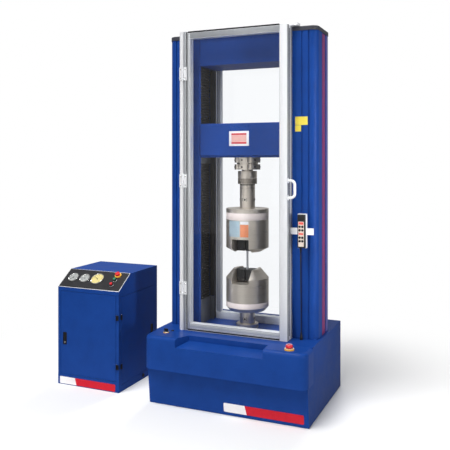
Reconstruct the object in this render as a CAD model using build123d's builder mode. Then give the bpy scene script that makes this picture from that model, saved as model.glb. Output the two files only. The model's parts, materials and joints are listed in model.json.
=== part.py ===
"""Floor-standing universal testing machine with the hydraulic power unit of its grips.

Millimetres, +Z up. The origin is on the floor under the loading axis, midway between the
two columns. The operator stands on the -Y side.
"""
from build123d import *
from math import cos, hypot, pi, radians, sin, sqrt, tan
import os

os.makedirs("parts", exist_ok=True)

# Fits, sheets and cutting
overrun = 6.0
sheet = 4.0
shaft_clearance = 0.05
seat_clearance = 0.3
panel_gap = 2.0
edge_break = 1.5

# Base housing
table_top = 421.0
table_thickness = 60.0
base_half_width = 495.0
base_front = 350.0
base_rear = 383.0
front_lean = 24.0
skirt_top = 224.0
frame_tube = 50.0
frame_tube_wall = 5.0
floor_plate = 20.0
anchor_inset_x = 95.0
anchor_spacing_x = 2 * (base_half_width - anchor_inset_x)
anchor_spacing_y = 600.0
anchor_centre_y = 15.0
anchor_radius = 11.0
louvre_length = 140.0
louvre_height = 6.0
louvre_pitch = 18.0
louvre_rows = 7
louvre_centre_z = 260.0
louvre_inset_x = 245.0
louvre_side_x = base_half_width - louvre_inset_x
inlet_width = 60.0
inlet_height = 50.0
inlet_depth = 34.0
inlet_inset_x = 115.0
inlet_x = -base_half_width + inlet_inset_x
inlet_z = 110.0

# Moulded front cover with its tray
cover_overlap = 5.0
cover_half_width = base_half_width + cover_overlap
cover_front = 418.0
cover_back = 277.0
cover_bottom = 225.0
cover_wall = 5.0
cover_corner = 50.0
cover_brow = 22.0
cover_lip = 6.0
tray_left_margin = 254.0
tray_left = -cover_half_width + tray_left_margin
tray_left_flare = 46.0
tray_right_margin = 248.0
tray_right = cover_half_width - tray_right_margin
tray_back = 322.0
tray_back_floor = 389.0
tray_front_floor = 367.0

# Columns, guide rods and screws
column_set_in = 15.0
column_width = 210.0
column_half_width = base_half_width - column_set_in
column_inner = column_half_width - column_width
column_half_depth = 125.0
column_wall = 8.0
column_corner = 40.0
column_rear_corner = 12.0
throat_half_depth = 105.0
groove_offsets = (119.0, 160.0)
groove_xs = tuple(column_inner + offset for offset in groove_offsets)
groove_width = 9.0
groove_depth = 5.0
stripe_front = -16.0
stripe_rear = 60.0
stripe_depth = 2.0
cap_height = 26.0
cap_overhang = 3.0
cap_edge = 6.0
screw_inset = 110.0
screw_x = column_inner + screw_inset
screw_radius = 20.0
rod_y = 62.0
rod_radius = 22.5
socket_depth = 45.0

# Fixed top beam and moving crosshead
beam_side_gap = 4.0
beam_half_width = column_inner - beam_side_gap
beam_height = 175.0
beam_proud = 5.0
beam_gap = 359.0
crosshead_height = 208.0
end_inset = 25.0
end_half_width = column_half_width - end_inset
end_half_depth = 98.0
end_step = 10.0
crosshead_bevel = 14.0
beam_edge = 5.0
bush_radius = 30.0
nut_radius = 28.0
nut_length = 120.0
bearing_boss_radius = 45.0
bearing_boss_height = 14.0
register_radius = 50.0
register_depth = 6.0

# Bellows over the screws
bellows_inset = 30.0
bellows_width = 35.0
bellows_inner = column_inner + bellows_inset
bellows_outer = bellows_inner + bellows_width
bellows_half_depth = 97.0
bellows_pitch = 20.0
bellows_fold = 9.0
skirt_height = 151.0
flange_height = 38.0
flange_margin = 4.0

# Drive under the table
pulley_radius = 55.0
pulley_width = 30.0
pulley_bottom = 300.0
pulley_teeth = 36
tooth_depth = 2.5
tooth_share = 0.5
pulley_web = 8.0
pulley_hub_radius = 30.0
motor_y = -120.0
motor_pulley_radius = 30.0
motor_pulley_teeth = 20
belt_thickness = 4.0
belt_width = 24.0
motor_half_width = 65.0
motor_bottom = 50.0
motor_top = 262.0
motor_shaft_radius = 12.0
motor_plate = 10.0
motor_plate_half = 105.0
motor_stud_radius = 9.0
motor_stud_offset = 88.0

# Load string, its lengths counted upwards from the table
lower_stem_length = 112.0
lower_grip_length = 254.0
nose_gap = 108.0
upper_grip_length = 265.0
upper_stem_length = 151.0
adaptor_length = 80.0
adaptor_neck_length = 9.0
load_cell_length = 75.0
load_cell_radius = 80.0
load_cell_flange = 32.0
load_cell_waist = 66.0
load_cell_lobes = 6
lobe_cut_radius = 16.0
cell_bolt_radius = 5.5
cell_bolt_depth = 8.0
adaptor_neck = 35.0
adaptor_radius = 59.0
adaptor_groove = 1.5
knurl_count = 48
knurl_depth = 1.0
stem_radius = 47.0
stem_pin_radius = 12.5
stem_pin_offset = 54.0
grip_radius = 132.0
nose_radius = 86.0
upper_nose_chamfer = 25.0
lower_nose_chamfer = 54.0
upper_band_width = 43.0
upper_band_offset = 24.0
lower_band_width = 33.0
lower_taper_height = 24.0
lower_back_radius = 112.0
band_depth = 1.0
lock_ring_radius = 68.0
lock_ring_height = 27.0
lock_hole_radius = 7.0
lock_hole_count = 6
throat_width = 110.0
throat_depth = 82.0
throat_corner = 5.0
jaw_half_width = 38.0
wedge_angle = 12.0
wedge_at_nose = 60.0
jaw_length = 70.0
jaw_inset = 4.0
jaw_travel = 25.0
jaw_half_gap = 4.0
keeper_width = 8.0
keeper_depth = 16.0
specimen_radius = 8.0
specimen_gauge = 6.5
specimen_in_jaws = 62.0
specimen_shoulder = 14.0
specimen_bore = 12.0
specimen_bore_depth = 165.0

# Guards
door_lap = 60.0
door_half_width = column_inner + door_lap
door_front = 228.0
profile = 45.0
door_rise = 29.0
slot_width = 8.0
slot_depth = 7.0
pane = 5.0
pane_setback = 20.0
pane_grip = 8.0
post_gap = 4.0
post_width = 25.0
post_depth = 68.0
strike_gap = 14.0
strike_side_slot = 8.0
post_wall = 4.0
post_round = 9.0
bracket_height = 50.0
bracket_count = 4
top_bar_reach = 44.0
top_bar_half_width = door_half_width + top_bar_reach
top_bar_height = 20.0
top_bar_back = 110.0
top_bar_corner = 34.0
hinge_radius = 6.0
hinge_pin = 3.0
hinge_leaf = 3.0
hinge_height = 80.0
hinge_reach = 25.0
hinge_shares = (0.119, 0.478, 0.837)
handle_rod = 8.0
handle_throw = 40.0
handle_share = 0.478
handle_spread = 98.0
handle_bend = 24.0
handle_foot_radius = 12.0
handle_foot_height = 3.0

# Pendant on its bracket
bracket_inset = 41.0
bracket_inner = door_half_width - bracket_inset
bracket_length = 182.0
bracket_strip = 38.0
bracket_share = 0.345
bracket_plate = 3.0
pendant_offset = 56.0
pendant_left = door_half_width + pendant_offset
pendant_width = 44.0
pendant_length = 189.0
pendant_drop = 72.0
pendant_depth = 34.0
pendant_round = 6.0
cradle_wall = 3.0
cradle_margin = 4.0
cradle_depth = 16.0
cord_radius = 3.5
gland_inset = 120.0
gland_x = column_inner + gland_inset
gland_y = -146.0
gland_height = 16.0
gland_radius = 9.0

# Controls on the base
stop_inset = 112.0
stop_x = cover_half_width - stop_inset
stop_y = -365.0
stop_collar_radius = 27.0
stop_collar_height = 9.0
stop_head_radius = 20.0
stop_head_height = 16.0
stop_gap = 5.0
stop_stem_radius = 8.0
stop_stem_below = 20.0
switch_inset = 100.0
switch_x = -cover_half_width + switch_inset
switch_y = -319.0
switch_bezel_radius = 17.0
switch_bezel_height = 5.0
switch_knob_radius = 12.0
switch_knob_height = 7.0
switch_bar_height = 12.0
switch_bar_width = 6.0
switch_stem_radius = 5.0

# Hydraulic power unit
unit_spacing = 251.0
unit_width = 465.0
unit_right = -base_half_width - unit_spacing
unit_left = unit_right - unit_width
unit_front = -302.0
unit_rear = 182.0
unit_top = 728.0
unit_front_top = 633.0
unit_slope_back = -164.0
unit_sheet = 3.0
unit_door_margin = 22.0
unit_door_bottom = 70.0
unit_door_top = 606.0
unit_door_fold = 14.0
side_door_front = -272.0
side_door_rear = 140.0
side_door_bottom = 45.0
side_door_top = 596.0
unit_hinge_radius = 4.0
unit_hinge_pin = 2.0
unit_hinge_leaf = 2.0
unit_hinge_reach = 16.0
unit_hinge_height = 34.0
unit_hinge_zs = (143.0, 452.0)
latch_width = 24.0
latch_height = 74.0
latch_z = 300.0
latch_inset = 32.0
latch_plate = 3.0
unit_panel_plate = 4.0
unit_panel_margin = 5.0
gauge_places = ((79.0, 80.0), (167.0, 80.0), (263.0, 83.0))
gauge_radii = (35.5, 35.5, 45.0)
gauge_rim = 12.0
gauge_body = 26.0
gauge_body_share = 0.8
gauge_face_depth = 4.0
gauge_rim_wall = 4.0
unit_stop_place = (392.0, 134.0)
unit_start_place = (389.0, 92.0)
unit_off_place = (387.0, 49.0)
unit_collar_radius = 14.0
unit_stop_collar_radius = 21.0
unit_collar_height = 4.0
unit_button_radius = 9.0
unit_button_height = 9.0
unit_stop_head = 15.0
unit_stop_height = 14.0
unit_button_stem = 5.0
unit_button_gap = 4.0
tank_wall = 5.0
tank_height = 210.0
tank_margin = 60.0
pump_radius = 62.0
pump_length = 200.0
pump_block = 70.0

# Levels of the load string, the beams and the guard over the table
lower_back = table_top + lower_stem_length
lower_nose = lower_back + lower_grip_length
lower_chamfer = lower_nose - lower_nose_chamfer
lower_band = (lower_back + lower_taper_height, lower_back + lower_taper_height + lower_band_width)
upper_nose = lower_nose + nose_gap
upper_chamfer = upper_nose + upper_nose_chamfer
upper_back = upper_nose + upper_grip_length
upper_band = (upper_back - upper_band_offset - upper_band_width, upper_back - upper_band_offset)
adaptor_bottom = upper_back + upper_stem_length
adaptor_split = adaptor_bottom + adaptor_length / 2
adaptor_top = adaptor_bottom + adaptor_length
load_cell_bottom = adaptor_top + adaptor_neck_length
crosshead_bottom = load_cell_bottom + load_cell_length
crosshead_top = crosshead_bottom + crosshead_height
beam_bottom = crosshead_top + beam_gap
beam_top = beam_bottom + beam_height
column_top = beam_top - beam_proud
door_bottom = table_top + panel_gap
door_top = column_top + door_rise
door_height = door_top - door_bottom
lock_ring_top = table_top + lock_ring_height


def block(xs, ys, zs, mode=Mode.ADD):
    """A box between three pairs of planes, drawn on its lower face."""
    with BuildSketch(Plane.XY.offset(min(zs))) as foot:
        with Locations(((xs[0] + xs[1]) / 2, (ys[0] + ys[1]) / 2)):
            Rectangle(abs(xs[1] - xs[0]), abs(ys[1] - ys[0]))
    extrude(foot.sketch, amount=abs(zs[1] - zs[0]), mode=mode)


def drum(centres, radius, zs, mode=Mode.ADD):
    """Upright cylinders of one radius on a list of centres."""
    with BuildSketch(Plane.XY.offset(min(zs))) as foot:
        with Locations(*centres):
            Circle(radius)
    extrude(foot.sketch, amount=abs(zs[1] - zs[0]), mode=mode)


def lathe(profile_points, mode=Mode.ADD):
    """A turned solid about the loading axis from (radius, height) points."""
    with BuildSketch(Plane.XZ) as half:
        with BuildLine():
            Polyline(*profile_points, close=True)
        make_face()
    revolve(half.sketch, axis=Axis.Z, mode=mode)


def slab(plane, points, depth, mode=Mode.ADD):
    """A closed outline on a plane, extruded along the plane's normal."""
    with BuildSketch(plane) as outline:
        with BuildLine():
            Polyline(*points, close=True)
        make_face()
    extrude(outline.sketch, amount=depth, mode=mode)


def pin(plane, centre, radius, depth, mode=Mode.ADD):
    """A round pin or bore on a plane, along its normal."""
    with BuildSketch(plane) as foot:
        with Locations(centre):
            Circle(radius)
    extrude(foot.sketch, amount=depth, mode=mode)


def bent_rod(points, radii, radius):
    """A round rod along straight runs joined by tangent arcs."""
    with BuildLine() as route:
        FilletPolyline(*points, radius=radii)
    start = Plane(origin=route.line @ 0, z_dir=route.line % 0)
    with BuildSketch(start) as section:
        Circle(radius)
    sweep(section.sketch, path=route.line)


def both_sides(piece):
    """Adds a finished right-hand piece and its mirror image."""
    add(piece)
    mirror(piece, about=Plane.YZ)


def keep(piece, name):
    """Labels a finished piece and writes it under its own name."""
    piece.part.label = name
    export_step(piece.part, f"parts/{name}.step")


# Base housing: welded frame, table and sheet panels
frame_half = base_half_width - sheet
frame_front = -(base_front - sheet)
frame_rear = base_rear - sheet
table_bottom = table_top - table_thickness
corner_xs = ((-frame_half, -frame_half + frame_tube), (frame_half - frame_tube, frame_half))
corner_ys = ((frame_front, frame_front + frame_tube), (frame_rear - frame_tube, frame_rear))

with BuildPart() as base_frame:
    block((-frame_half, frame_half), (frame_front, frame_rear), (0, floor_plate))
    with BuildSketch(Plane.XY) as anchors:
        with Locations((0, anchor_centre_y)):
            with GridLocations(anchor_spacing_x, anchor_spacing_y, 2, 2):
                Circle(anchor_radius)
    extrude(anchors.sketch, amount=floor_plate, mode=Mode.SUBTRACT)
    for xs in corner_xs:
        for ys in corner_ys:
            block(xs, ys, (floor_plate, table_bottom))
    rail_zs = (table_bottom - frame_tube, table_bottom)
    for ys in corner_ys:
        block((corner_xs[0][1], corner_xs[1][0]), ys, rail_zs)
    for xs in corner_xs:
        block(xs, (corner_ys[0][1], corner_ys[1][0]), rail_zs)
    wall = frame_tube_wall
    for ys in corner_ys:
        block((-frame_half, frame_half), (ys[0] + wall, ys[1] - wall),
              (rail_zs[0] + wall, rail_zs[1] - wall), Mode.SUBTRACT)
    for xs in corner_xs:
        for ys in corner_ys:
            block((xs[0] + wall, xs[1] - wall), (ys[0] + wall, ys[1] - wall),
                  (floor_plate, rail_zs[0]), Mode.SUBTRACT)
keep(base_frame, "base_frame")

screw_places = [(-screw_x, 0), (screw_x, 0)]
rod_places = [(x, y) for x in (-screw_x, screw_x) for y in (-rod_y, rod_y)]
screw_hole = screw_radius + edge_break

with BuildPart() as worktable:
    block((-frame_half, frame_half), (-cover_back, frame_rear), (table_bottom, table_top))
    drum(screw_places, bearing_boss_radius, (table_bottom - bearing_boss_height, table_bottom))
    drum(screw_places, screw_radius + shaft_clearance,
         (table_bottom - bearing_boss_height, table_top), Mode.SUBTRACT)
    drum(rod_places, rod_radius + shaft_clearance, (table_top - socket_depth, table_top), Mode.SUBTRACT)
    drum([(0, 0)], stem_radius - cover_wall, (table_bottom, table_top), Mode.SUBTRACT)
keep(worktable, "worktable")

side_outline = [
    (-base_front, panel_gap),
    (-base_front - front_lean, skirt_top),
    (-cover_front + cover_corner + cover_lip, skirt_top),
    (-cover_front + cover_corner + cover_lip, skirt_top + cover_lip * 4),
    (-cover_back - cover_lip * 4, skirt_top + cover_lip * 4),
    (-cover_back - cover_lip * 4, table_top - cover_brow - cover_lip),
    (-cover_back, table_top - cover_brow - cover_lip),
    (-cover_back, table_top),
    (base_rear, table_top),
    (base_rear, panel_gap),
]

with BuildPart() as side_panels:
    slab(Plane.YZ.offset(frame_half), side_outline, sheet)
    slab(Plane.YZ.offset(-base_half_width), side_outline, sheet)
keep(side_panels, "side_panels")

with BuildPart() as rear_panel:
    block((-frame_half, frame_half), (frame_rear, base_rear), (panel_gap, table_top))
    with BuildSketch(Plane.XZ.offset(-base_rear)) as louvres:
        with Locations((-louvre_side_x, louvre_centre_z), (louvre_side_x, louvre_centre_z)):
            with GridLocations(louvre_length, louvre_pitch, 1, louvre_rows):
                SlotOverall(louvre_length, louvre_height)
    extrude(louvres.sketch, amount=sheet, mode=Mode.SUBTRACT)
    block((inlet_x - inlet_width / 2, inlet_x + inlet_width / 2), (frame_rear, base_rear),
          (inlet_z - inlet_height / 2, inlet_z + inlet_height / 2), Mode.SUBTRACT)
keep(rear_panel, "rear_panel")

lean_outline = [
    (-base_front, panel_gap),
    (-base_front - front_lean, skirt_top),
    (frame_front, skirt_top),
    (frame_front, skirt_top - sheet),
    (-base_front - front_lean + sheet, skirt_top - sheet),
    (frame_front, panel_gap),
]

with BuildPart() as lower_front_panel:
    slab(Plane.YZ.offset(-frame_half), lean_outline, 2 * frame_half)
keep(lower_front_panel, "lower_front_panel")

with BuildPart() as mains_inlet:
    block((inlet_x - inlet_width / 2, inlet_x + inlet_width / 2),
          (base_rear - inlet_depth, base_rear + edge_break),
          (inlet_z - inlet_height / 2, inlet_z + inlet_height / 2))
    block((inlet_x - inlet_width / 2 + sheet * 2, inlet_x + inlet_width / 2 - sheet * 2),
          (base_rear - inlet_depth + sheet, base_rear + edge_break),
          (inlet_z - inlet_height / 2 + sheet * 2, inlet_z + inlet_height / 2 - sheet * 2), Mode.SUBTRACT)
keep(mains_inlet, "mains_inlet")


# Moulded front cover: rounded shell with an open front tray
def cover_footprint(inset):
    """Plan of the cover, square at the back and rounded at its two front corners."""
    half = cover_half_width - inset
    with BuildSketch(Plane.XY, mode=Mode.PRIVATE) as plan:
        with Locations((0, -(cover_front - inset + cover_back) / 2)):
            Rectangle(2 * half, cover_front - inset - cover_back)
        fillet(plan.vertices().group_by(Axis.Y)[0], cover_corner - inset)
    return plan.sketch


def tray_form(grow):
    """The tray's space, grown by a wall: a sloping floor, a square right end, a flared left end."""
    front = -cover_front - overrun
    slab(Plane.YZ.offset(tray_left - tray_left_flare - overrun - grow), [
        (-tray_back + grow, table_top + overrun),
        (-tray_back + grow, tray_back_floor - grow),
        (front, tray_front_floor - grow),
        (front, table_top + overrun),
    ], tray_right - tray_left + tray_left_flare + 2 * overrun + 2 * grow)
    slab(Plane.XY.offset(cover_bottom), [
        (tray_left - grow, -tray_back + grow), (tray_right + grow, -tray_back + grow),
        (tray_right + grow, front), (tray_left - tray_left_flare - grow, front),
    ], table_top + overrun - cover_bottom, Mode.INTERSECT)


with BuildPart() as tray_space:
    tray_form(0)

with BuildPart() as tray_shell:
    tray_form(cover_wall)

with BuildPart() as cover_cavity:
    extrude(Plane.XY.offset(cover_bottom) * cover_footprint(cover_wall),
            amount=table_top - cover_wall - cover_bottom)
    brow_edges = cover_cavity.faces().sort_by(Axis.Z)[-1].edges().filter_by(
        lambda edge: edge.center().Y < -cover_back - cover_wall)
    fillet(brow_edges, cover_brow - cover_wall)
    add(tray_shell.part, mode=Mode.SUBTRACT)

with BuildPart() as front_cover:
    extrude(Plane.XY.offset(cover_bottom) * cover_footprint(0), amount=table_top - cover_bottom)
    outer_brow = front_cover.faces().sort_by(Axis.Z)[-1].edges().filter_by(
        lambda edge: edge.center().Y < -cover_back - cover_wall)
    fillet(outer_brow, cover_brow)
    add(cover_cavity.part, mode=Mode.SUBTRACT)
    add(tray_space.part, mode=Mode.SUBTRACT)
    drum([(stop_x, stop_y)], stop_stem_radius + cover_wall, (table_top - cover_wall, table_top),
         Mode.SUBTRACT)
    drum([(switch_x, switch_y)], switch_stem_radius + cover_wall, (table_top - cover_wall, table_top),
         Mode.SUBTRACT)
keep(front_cover, "front_cover")


# Columns: open extrusions with front grooves, a corner radius and a stripe recess
def column_plan(grow):
    """Outer outline of the right-hand column, grown all round by a margin."""
    xs = (column_inner - grow, column_half_width + grow)
    with BuildSketch(Plane.XY, mode=Mode.PRIVATE) as plan:
        with Locations(((xs[0] + xs[1]) / 2, 0)):
            Rectangle(xs[1] - xs[0], 2 * (column_half_depth + grow))
        front = plan.vertices().group_by(Axis.X)[-1].sort_by(Axis.Y)
        fillet(front[0], column_corner + grow)
        rear = plan.vertices().group_by(Axis.X)[-1].sort_by(Axis.Y)
        fillet(rear[-1], column_rear_corner + grow)
    return plan.sketch


with BuildPart() as right_column_cover:
    extrude(Plane.XY.offset(table_top) * column_plan(0), amount=column_top - table_top)
    extrude(Plane.XY.offset(table_top) * column_plan(-column_wall), amount=column_top - table_top,
            mode=Mode.SUBTRACT)
    tall = (table_top, column_top)
    block((column_inner, column_inner + column_wall), (-throat_half_depth, throat_half_depth), tall,
          Mode.SUBTRACT)
    for x in groove_xs:
        block((x - groove_width / 2, x + groove_width / 2),
              (-column_half_depth, -column_half_depth + groove_depth), tall, Mode.SUBTRACT)
    block((column_half_width - stripe_depth, column_half_width), (stripe_front, stripe_rear), tall,
          Mode.SUBTRACT)
keep(right_column_cover, "right_column_cover")

with BuildPart() as left_column_cover:
    mirror(right_column_cover.part, about=Plane.YZ)
keep(left_column_cover, "left_column_cover")

with BuildPart() as right_cap:
    extrude(Plane.XY.offset(column_top) * column_plan(cap_overhang), amount=cap_height)
    fillet(right_cap.faces().sort_by(Axis.Z)[-1].edges(), cap_edge)

with BuildPart() as column_caps:
    both_sides(right_cap.part)
keep(column_caps, "column_caps")

rod_top = beam_bottom + end_step + socket_depth
with BuildPart() as guide_rods:
    drum(rod_places, rod_radius, (table_top - socket_depth, rod_top))
    chamfer(guide_rods.faces().filter_by(Axis.Z).edges(), edge_break)
keep(guide_rods, "guide_rods")


def beam_casting(zs, end_zs):
    """Deep centre box between the columns with narrower ends that reach inside them."""
    block((-beam_half_width, beam_half_width), (-column_half_depth, column_half_depth), zs)
    block((-end_half_width, end_half_width), (-end_half_depth, end_half_depth), end_zs)


screw_top = rod_top + socket_depth
with BuildPart() as top_beam:
    beam_casting((beam_bottom, beam_top), (beam_bottom + end_step, column_top - end_step))
    fillet(top_beam.edges().filter_by(Axis.X).group_by(Axis.Z)[-1], beam_edge)
    drum(screw_places, bearing_boss_radius, (beam_bottom, beam_bottom + end_step))
    drum(screw_places, screw_radius + shaft_clearance, (beam_bottom, screw_top + edge_break),
         Mode.SUBTRACT)
    drum(rod_places, rod_radius + shaft_clearance, (beam_bottom, rod_top), Mode.SUBTRACT)
keep(top_beam, "top_beam")


# Bellows, their fixed skirts and the flanges under the crosshead
def folded_wall(zs, places):
    """A pleated curtain in side view: straight back, folded face, one fold per pitch."""
    length = zs[1] - zs[0]
    folds = round(length / bellows_pitch)
    pitch = length / folds
    face = [(bellows_outer, zs[1]), (bellows_outer, zs[0])]
    for fold in range(folds):
        face.append((bellows_inner + bellows_fold, zs[0] + fold * pitch))
        face.append((bellows_inner, zs[0] + (fold + 1 / 2) * pitch))
    face.append((bellows_inner + bellows_fold, zs[1]))
    for side in places:
        slab(Plane.XZ.offset(-bellows_half_depth), [(side * x, z) for x, z in face],
             2 * bellows_half_depth)


skirt_z = table_top + skirt_height
flange_bottom = crosshead_bottom - flange_height

with BuildPart() as lower_bellows:
    folded_wall((skirt_z, flange_bottom), (-1, 1))
keep(lower_bellows, "lower_bellows")

with BuildPart() as upper_bellows:
    folded_wall((crosshead_top, beam_bottom), (-1, 1))
keep(upper_bellows, "upper_bellows")

with BuildPart() as right_skirt:
    skirt_xs = (bellows_inner - flange_margin, bellows_outer)
    block(skirt_xs, (-bellows_half_depth, bellows_half_depth), (table_top, skirt_z))
    block((bellows_inner, bellows_outer), (-bellows_half_depth + sheet, bellows_half_depth - sheet),
          (table_top, skirt_z - sheet), Mode.SUBTRACT)

with BuildPart() as bellows_skirts:
    both_sides(right_skirt.part)
keep(bellows_skirts, "bellows_skirts")

with BuildPart() as right_flange:
    flange_xs = (bellows_inner - flange_margin, bellows_outer)
    block(flange_xs, (-bellows_half_depth, bellows_half_depth), (flange_bottom, crosshead_bottom))
    fillet(right_flange.edges().filter_by(Axis.Y).group_by(Axis.X)[0], edge_break)

with BuildPart() as bellows_flanges:
    both_sides(right_flange.part)
keep(bellows_flanges, "bellows_flanges")


# Drive: two screws with toothed pulleys, the motor pulley, the belt and the motor
def toothed_rim(centre, radius, teeth, zs):
    """A pulley disc with square tooth gaps round its rim."""
    drum([centre], radius, zs)
    gap = 2 * radius * sin(radians(180 / teeth)) * tooth_share
    with BuildSketch(Plane.XY.offset(min(zs))) as gaps:
        with Locations(centre):
            with PolarLocations(radius, teeth):
                Rectangle(2 * tooth_depth, gap)
    extrude(gaps.sketch, amount=abs(zs[1] - zs[0]), mode=Mode.SUBTRACT)


pulley_zs = (pulley_bottom, pulley_bottom + pulley_width)
for side, place in (("left", screw_places[0]), ("right", screw_places[1])):
    with BuildPart() as pulley:
        toothed_rim(place, pulley_radius, pulley_teeth, pulley_zs)
        web_top = (pulley_zs[0] + pulley_zs[1] + pulley_web) / 2
        drum([place], pulley_radius - pulley_web, (web_top, pulley_zs[1]), Mode.SUBTRACT)
        drum([place], pulley_hub_radius, (web_top, pulley_zs[1]))
        drum([place], screw_radius + shaft_clearance, pulley_zs, Mode.SUBTRACT)
    with BuildPart() as screw:
        drum([place], screw_radius, (pulley_bottom - screw_radius, screw_top))
        chamfer(screw.faces().filter_by(Axis.Z).edges(), edge_break)
        add(pulley.part)
    keep(screw, f"{side}_screw")

motor_place = (0, motor_y)
motor_plate_zs = (motor_top, motor_top + motor_plate)
with BuildPart() as motor_pulley:
    toothed_rim(motor_place, motor_pulley_radius, motor_pulley_teeth, pulley_zs)
    drum([motor_place], motor_shaft_radius, (motor_top + motor_plate + edge_break, pulley_bottom))
keep(motor_pulley, "motor_pulley")

with BuildPart() as drive_belt:
    with BuildSketch(Plane.XY) as loop:
        with BuildSketch(mode=Mode.PRIVATE) as wheels:
            with Locations(*screw_places):
                Circle(pulley_radius + seat_clearance)
            with Locations(motor_place):
                Circle(motor_pulley_radius + seat_clearance)
        inner = make_hull(wheels.sketch.edges(), mode=Mode.PRIVATE)
        offset(inner, amount=belt_thickness)
        add(inner, mode=Mode.SUBTRACT)
    belt_bottom = pulley_bottom + (pulley_width - belt_width) / 2
    extrude(Plane.XY.offset(belt_bottom) * loop.sketch, amount=belt_width)
keep(drive_belt, "drive_belt")

with BuildPart() as drive_motor:
    with BuildSketch(Plane.XY.offset(motor_bottom)) as motor_plan:
        with Locations(motor_place):
            RectangleRounded(2 * motor_half_width, 2 * motor_half_width, motor_stud_radius * 2)
    extrude(motor_plan.sketch, amount=motor_top - motor_bottom)
    block((-motor_plate_half, motor_plate_half), (motor_y - motor_plate_half, motor_y + motor_plate_half),
          motor_plate_zs)
    with BuildSketch(Plane.XY.offset(motor_plate_zs[1])) as studs:
        with Locations(motor_place):
            with GridLocations(2 * motor_stud_offset, 2 * motor_stud_offset, 2, 2):
                Circle(motor_stud_radius)
    extrude(studs.sketch, amount=table_bottom - motor_plate_zs[1])
    drum([motor_place], motor_shaft_radius + edge_break, motor_plate_zs, Mode.SUBTRACT)
keep(drive_motor, "drive_motor")

# Moving crosshead with its nuts and bushes
crosshead_zs = (crosshead_bottom, crosshead_top)
with BuildPart() as moving_crosshead:
    beam_casting(crosshead_zs, crosshead_zs)
    low_edges = moving_crosshead.edges().filter_by(Axis.X).group_by(Axis.Z)[0]
    outer_edges = [edge for edge in low_edges if abs(edge.center().Y) > end_half_depth + edge_break]
    chamfer(outer_edges, crosshead_bevel)
    fillet([edge for edge in moving_crosshead.edges().filter_by(Axis.X).group_by(Axis.Z)[-1]
            if abs(edge.center().Y) > end_half_depth + edge_break], beam_edge)
    drum(rod_places, bush_radius + shaft_clearance, crosshead_zs, Mode.SUBTRACT)
    drum(screw_places, nut_radius + shaft_clearance, crosshead_zs, Mode.SUBTRACT)
    drum([(0, 0)], register_radius + shaft_clearance,
         (crosshead_bottom, crosshead_bottom + register_depth), Mode.SUBTRACT)
keep(moving_crosshead, "moving_crosshead")

with BuildPart() as crosshead_bushes:
    drum(rod_places, bush_radius, crosshead_zs)
    drum(rod_places, rod_radius + shaft_clearance, crosshead_zs, Mode.SUBTRACT)
keep(crosshead_bushes, "crosshead_bushes")

with BuildPart() as ball_nuts:
    nut_zs = (crosshead_bottom, crosshead_bottom + nut_length)
    drum(screw_places, nut_radius, nut_zs)
    drum(screw_places, screw_radius + shaft_clearance, nut_zs, Mode.SUBTRACT)
keep(ball_nuts, "ball_nuts")

# Load cell: two lobed flanges joined by a waist
with BuildPart() as load_cell:
    cell_zs = (load_cell_bottom, crosshead_bottom)
    flange_levels = ((cell_zs[0], cell_zs[0] + load_cell_flange),
                     (cell_zs[1] - load_cell_flange, cell_zs[1]))
    drum([(0, 0)], load_cell_radius, cell_zs)
    with BuildSketch(Plane.XY.offset(cell_zs[0])) as lobes:
        with PolarLocations(load_cell_radius + lobe_cut_radius / 2, load_cell_lobes):
            Circle(lobe_cut_radius)
    extrude(lobes.sketch, amount=cell_zs[1] - cell_zs[0], mode=Mode.SUBTRACT)
    with BuildSketch(Plane.XY.offset(flange_levels[0][1])) as waist:
        Circle(load_cell_radius + overrun)
        Circle(load_cell_waist, mode=Mode.SUBTRACT)
    extrude(waist.sketch, amount=flange_levels[1][0] - flange_levels[0][1], mode=Mode.SUBTRACT)
    drum([(0, 0)], register_radius, (crosshead_bottom, crosshead_bottom + register_depth))
keep(load_cell, "load_cell")

with BuildPart() as upper_adaptor:
    lathe([
        (0, adaptor_bottom), (adaptor_radius, adaptor_bottom),
        (adaptor_radius, adaptor_split - adaptor_groove),
        (adaptor_radius - adaptor_groove, adaptor_split - adaptor_groove),
        (adaptor_radius - adaptor_groove, adaptor_split + adaptor_groove),
        (adaptor_radius, adaptor_split + adaptor_groove),
        (adaptor_radius, adaptor_top - edge_break), (adaptor_radius - edge_break, adaptor_top),
        (adaptor_neck, adaptor_top), (adaptor_neck, load_cell_bottom), (0, load_cell_bottom),
    ])
    knurl_zs = (adaptor_bottom, adaptor_split - adaptor_groove)
    with BuildSketch(Plane.XY.offset(knurl_zs[0])) as knurls:
        with PolarLocations(adaptor_radius, knurl_count):
            Rectangle(2 * knurl_depth, 2 * knurl_depth, rotation=45)
    extrude(knurls.sketch, amount=knurl_zs[1] - knurl_zs[0], mode=Mode.SUBTRACT)
keep(upper_adaptor, "upper_adaptor")


def grip_stem(zs, pin_z):
    """A round stem with its retaining pins through it front to back and side to side."""
    drum([(0, 0)], stem_radius, zs)
    bore = stem_pin_radius + shaft_clearance
    pin(Plane.XZ.offset(-stem_radius), (0, pin_z), bore, 2 * stem_radius, Mode.SUBTRACT)
    pin(Plane.YZ.offset(-stem_radius), (0, pin_z), bore, 2 * stem_radius, Mode.SUBTRACT)
    reach = stem_radius - edge_break
    pin(Plane.XZ.offset(-reach), (0, pin_z), stem_pin_radius, 2 * reach)
    for side in (-1, 1):
        start = stem_pin_radius + edge_break if side > 0 else -reach
        pin(Plane.YZ.offset(start), (0, pin_z), stem_pin_radius, reach - stem_pin_radius - edge_break)


with BuildPart() as upper_grip_stem:
    grip_stem((upper_back, adaptor_bottom), upper_back + stem_pin_offset)
keep(upper_grip_stem, "upper_grip_stem")

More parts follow.
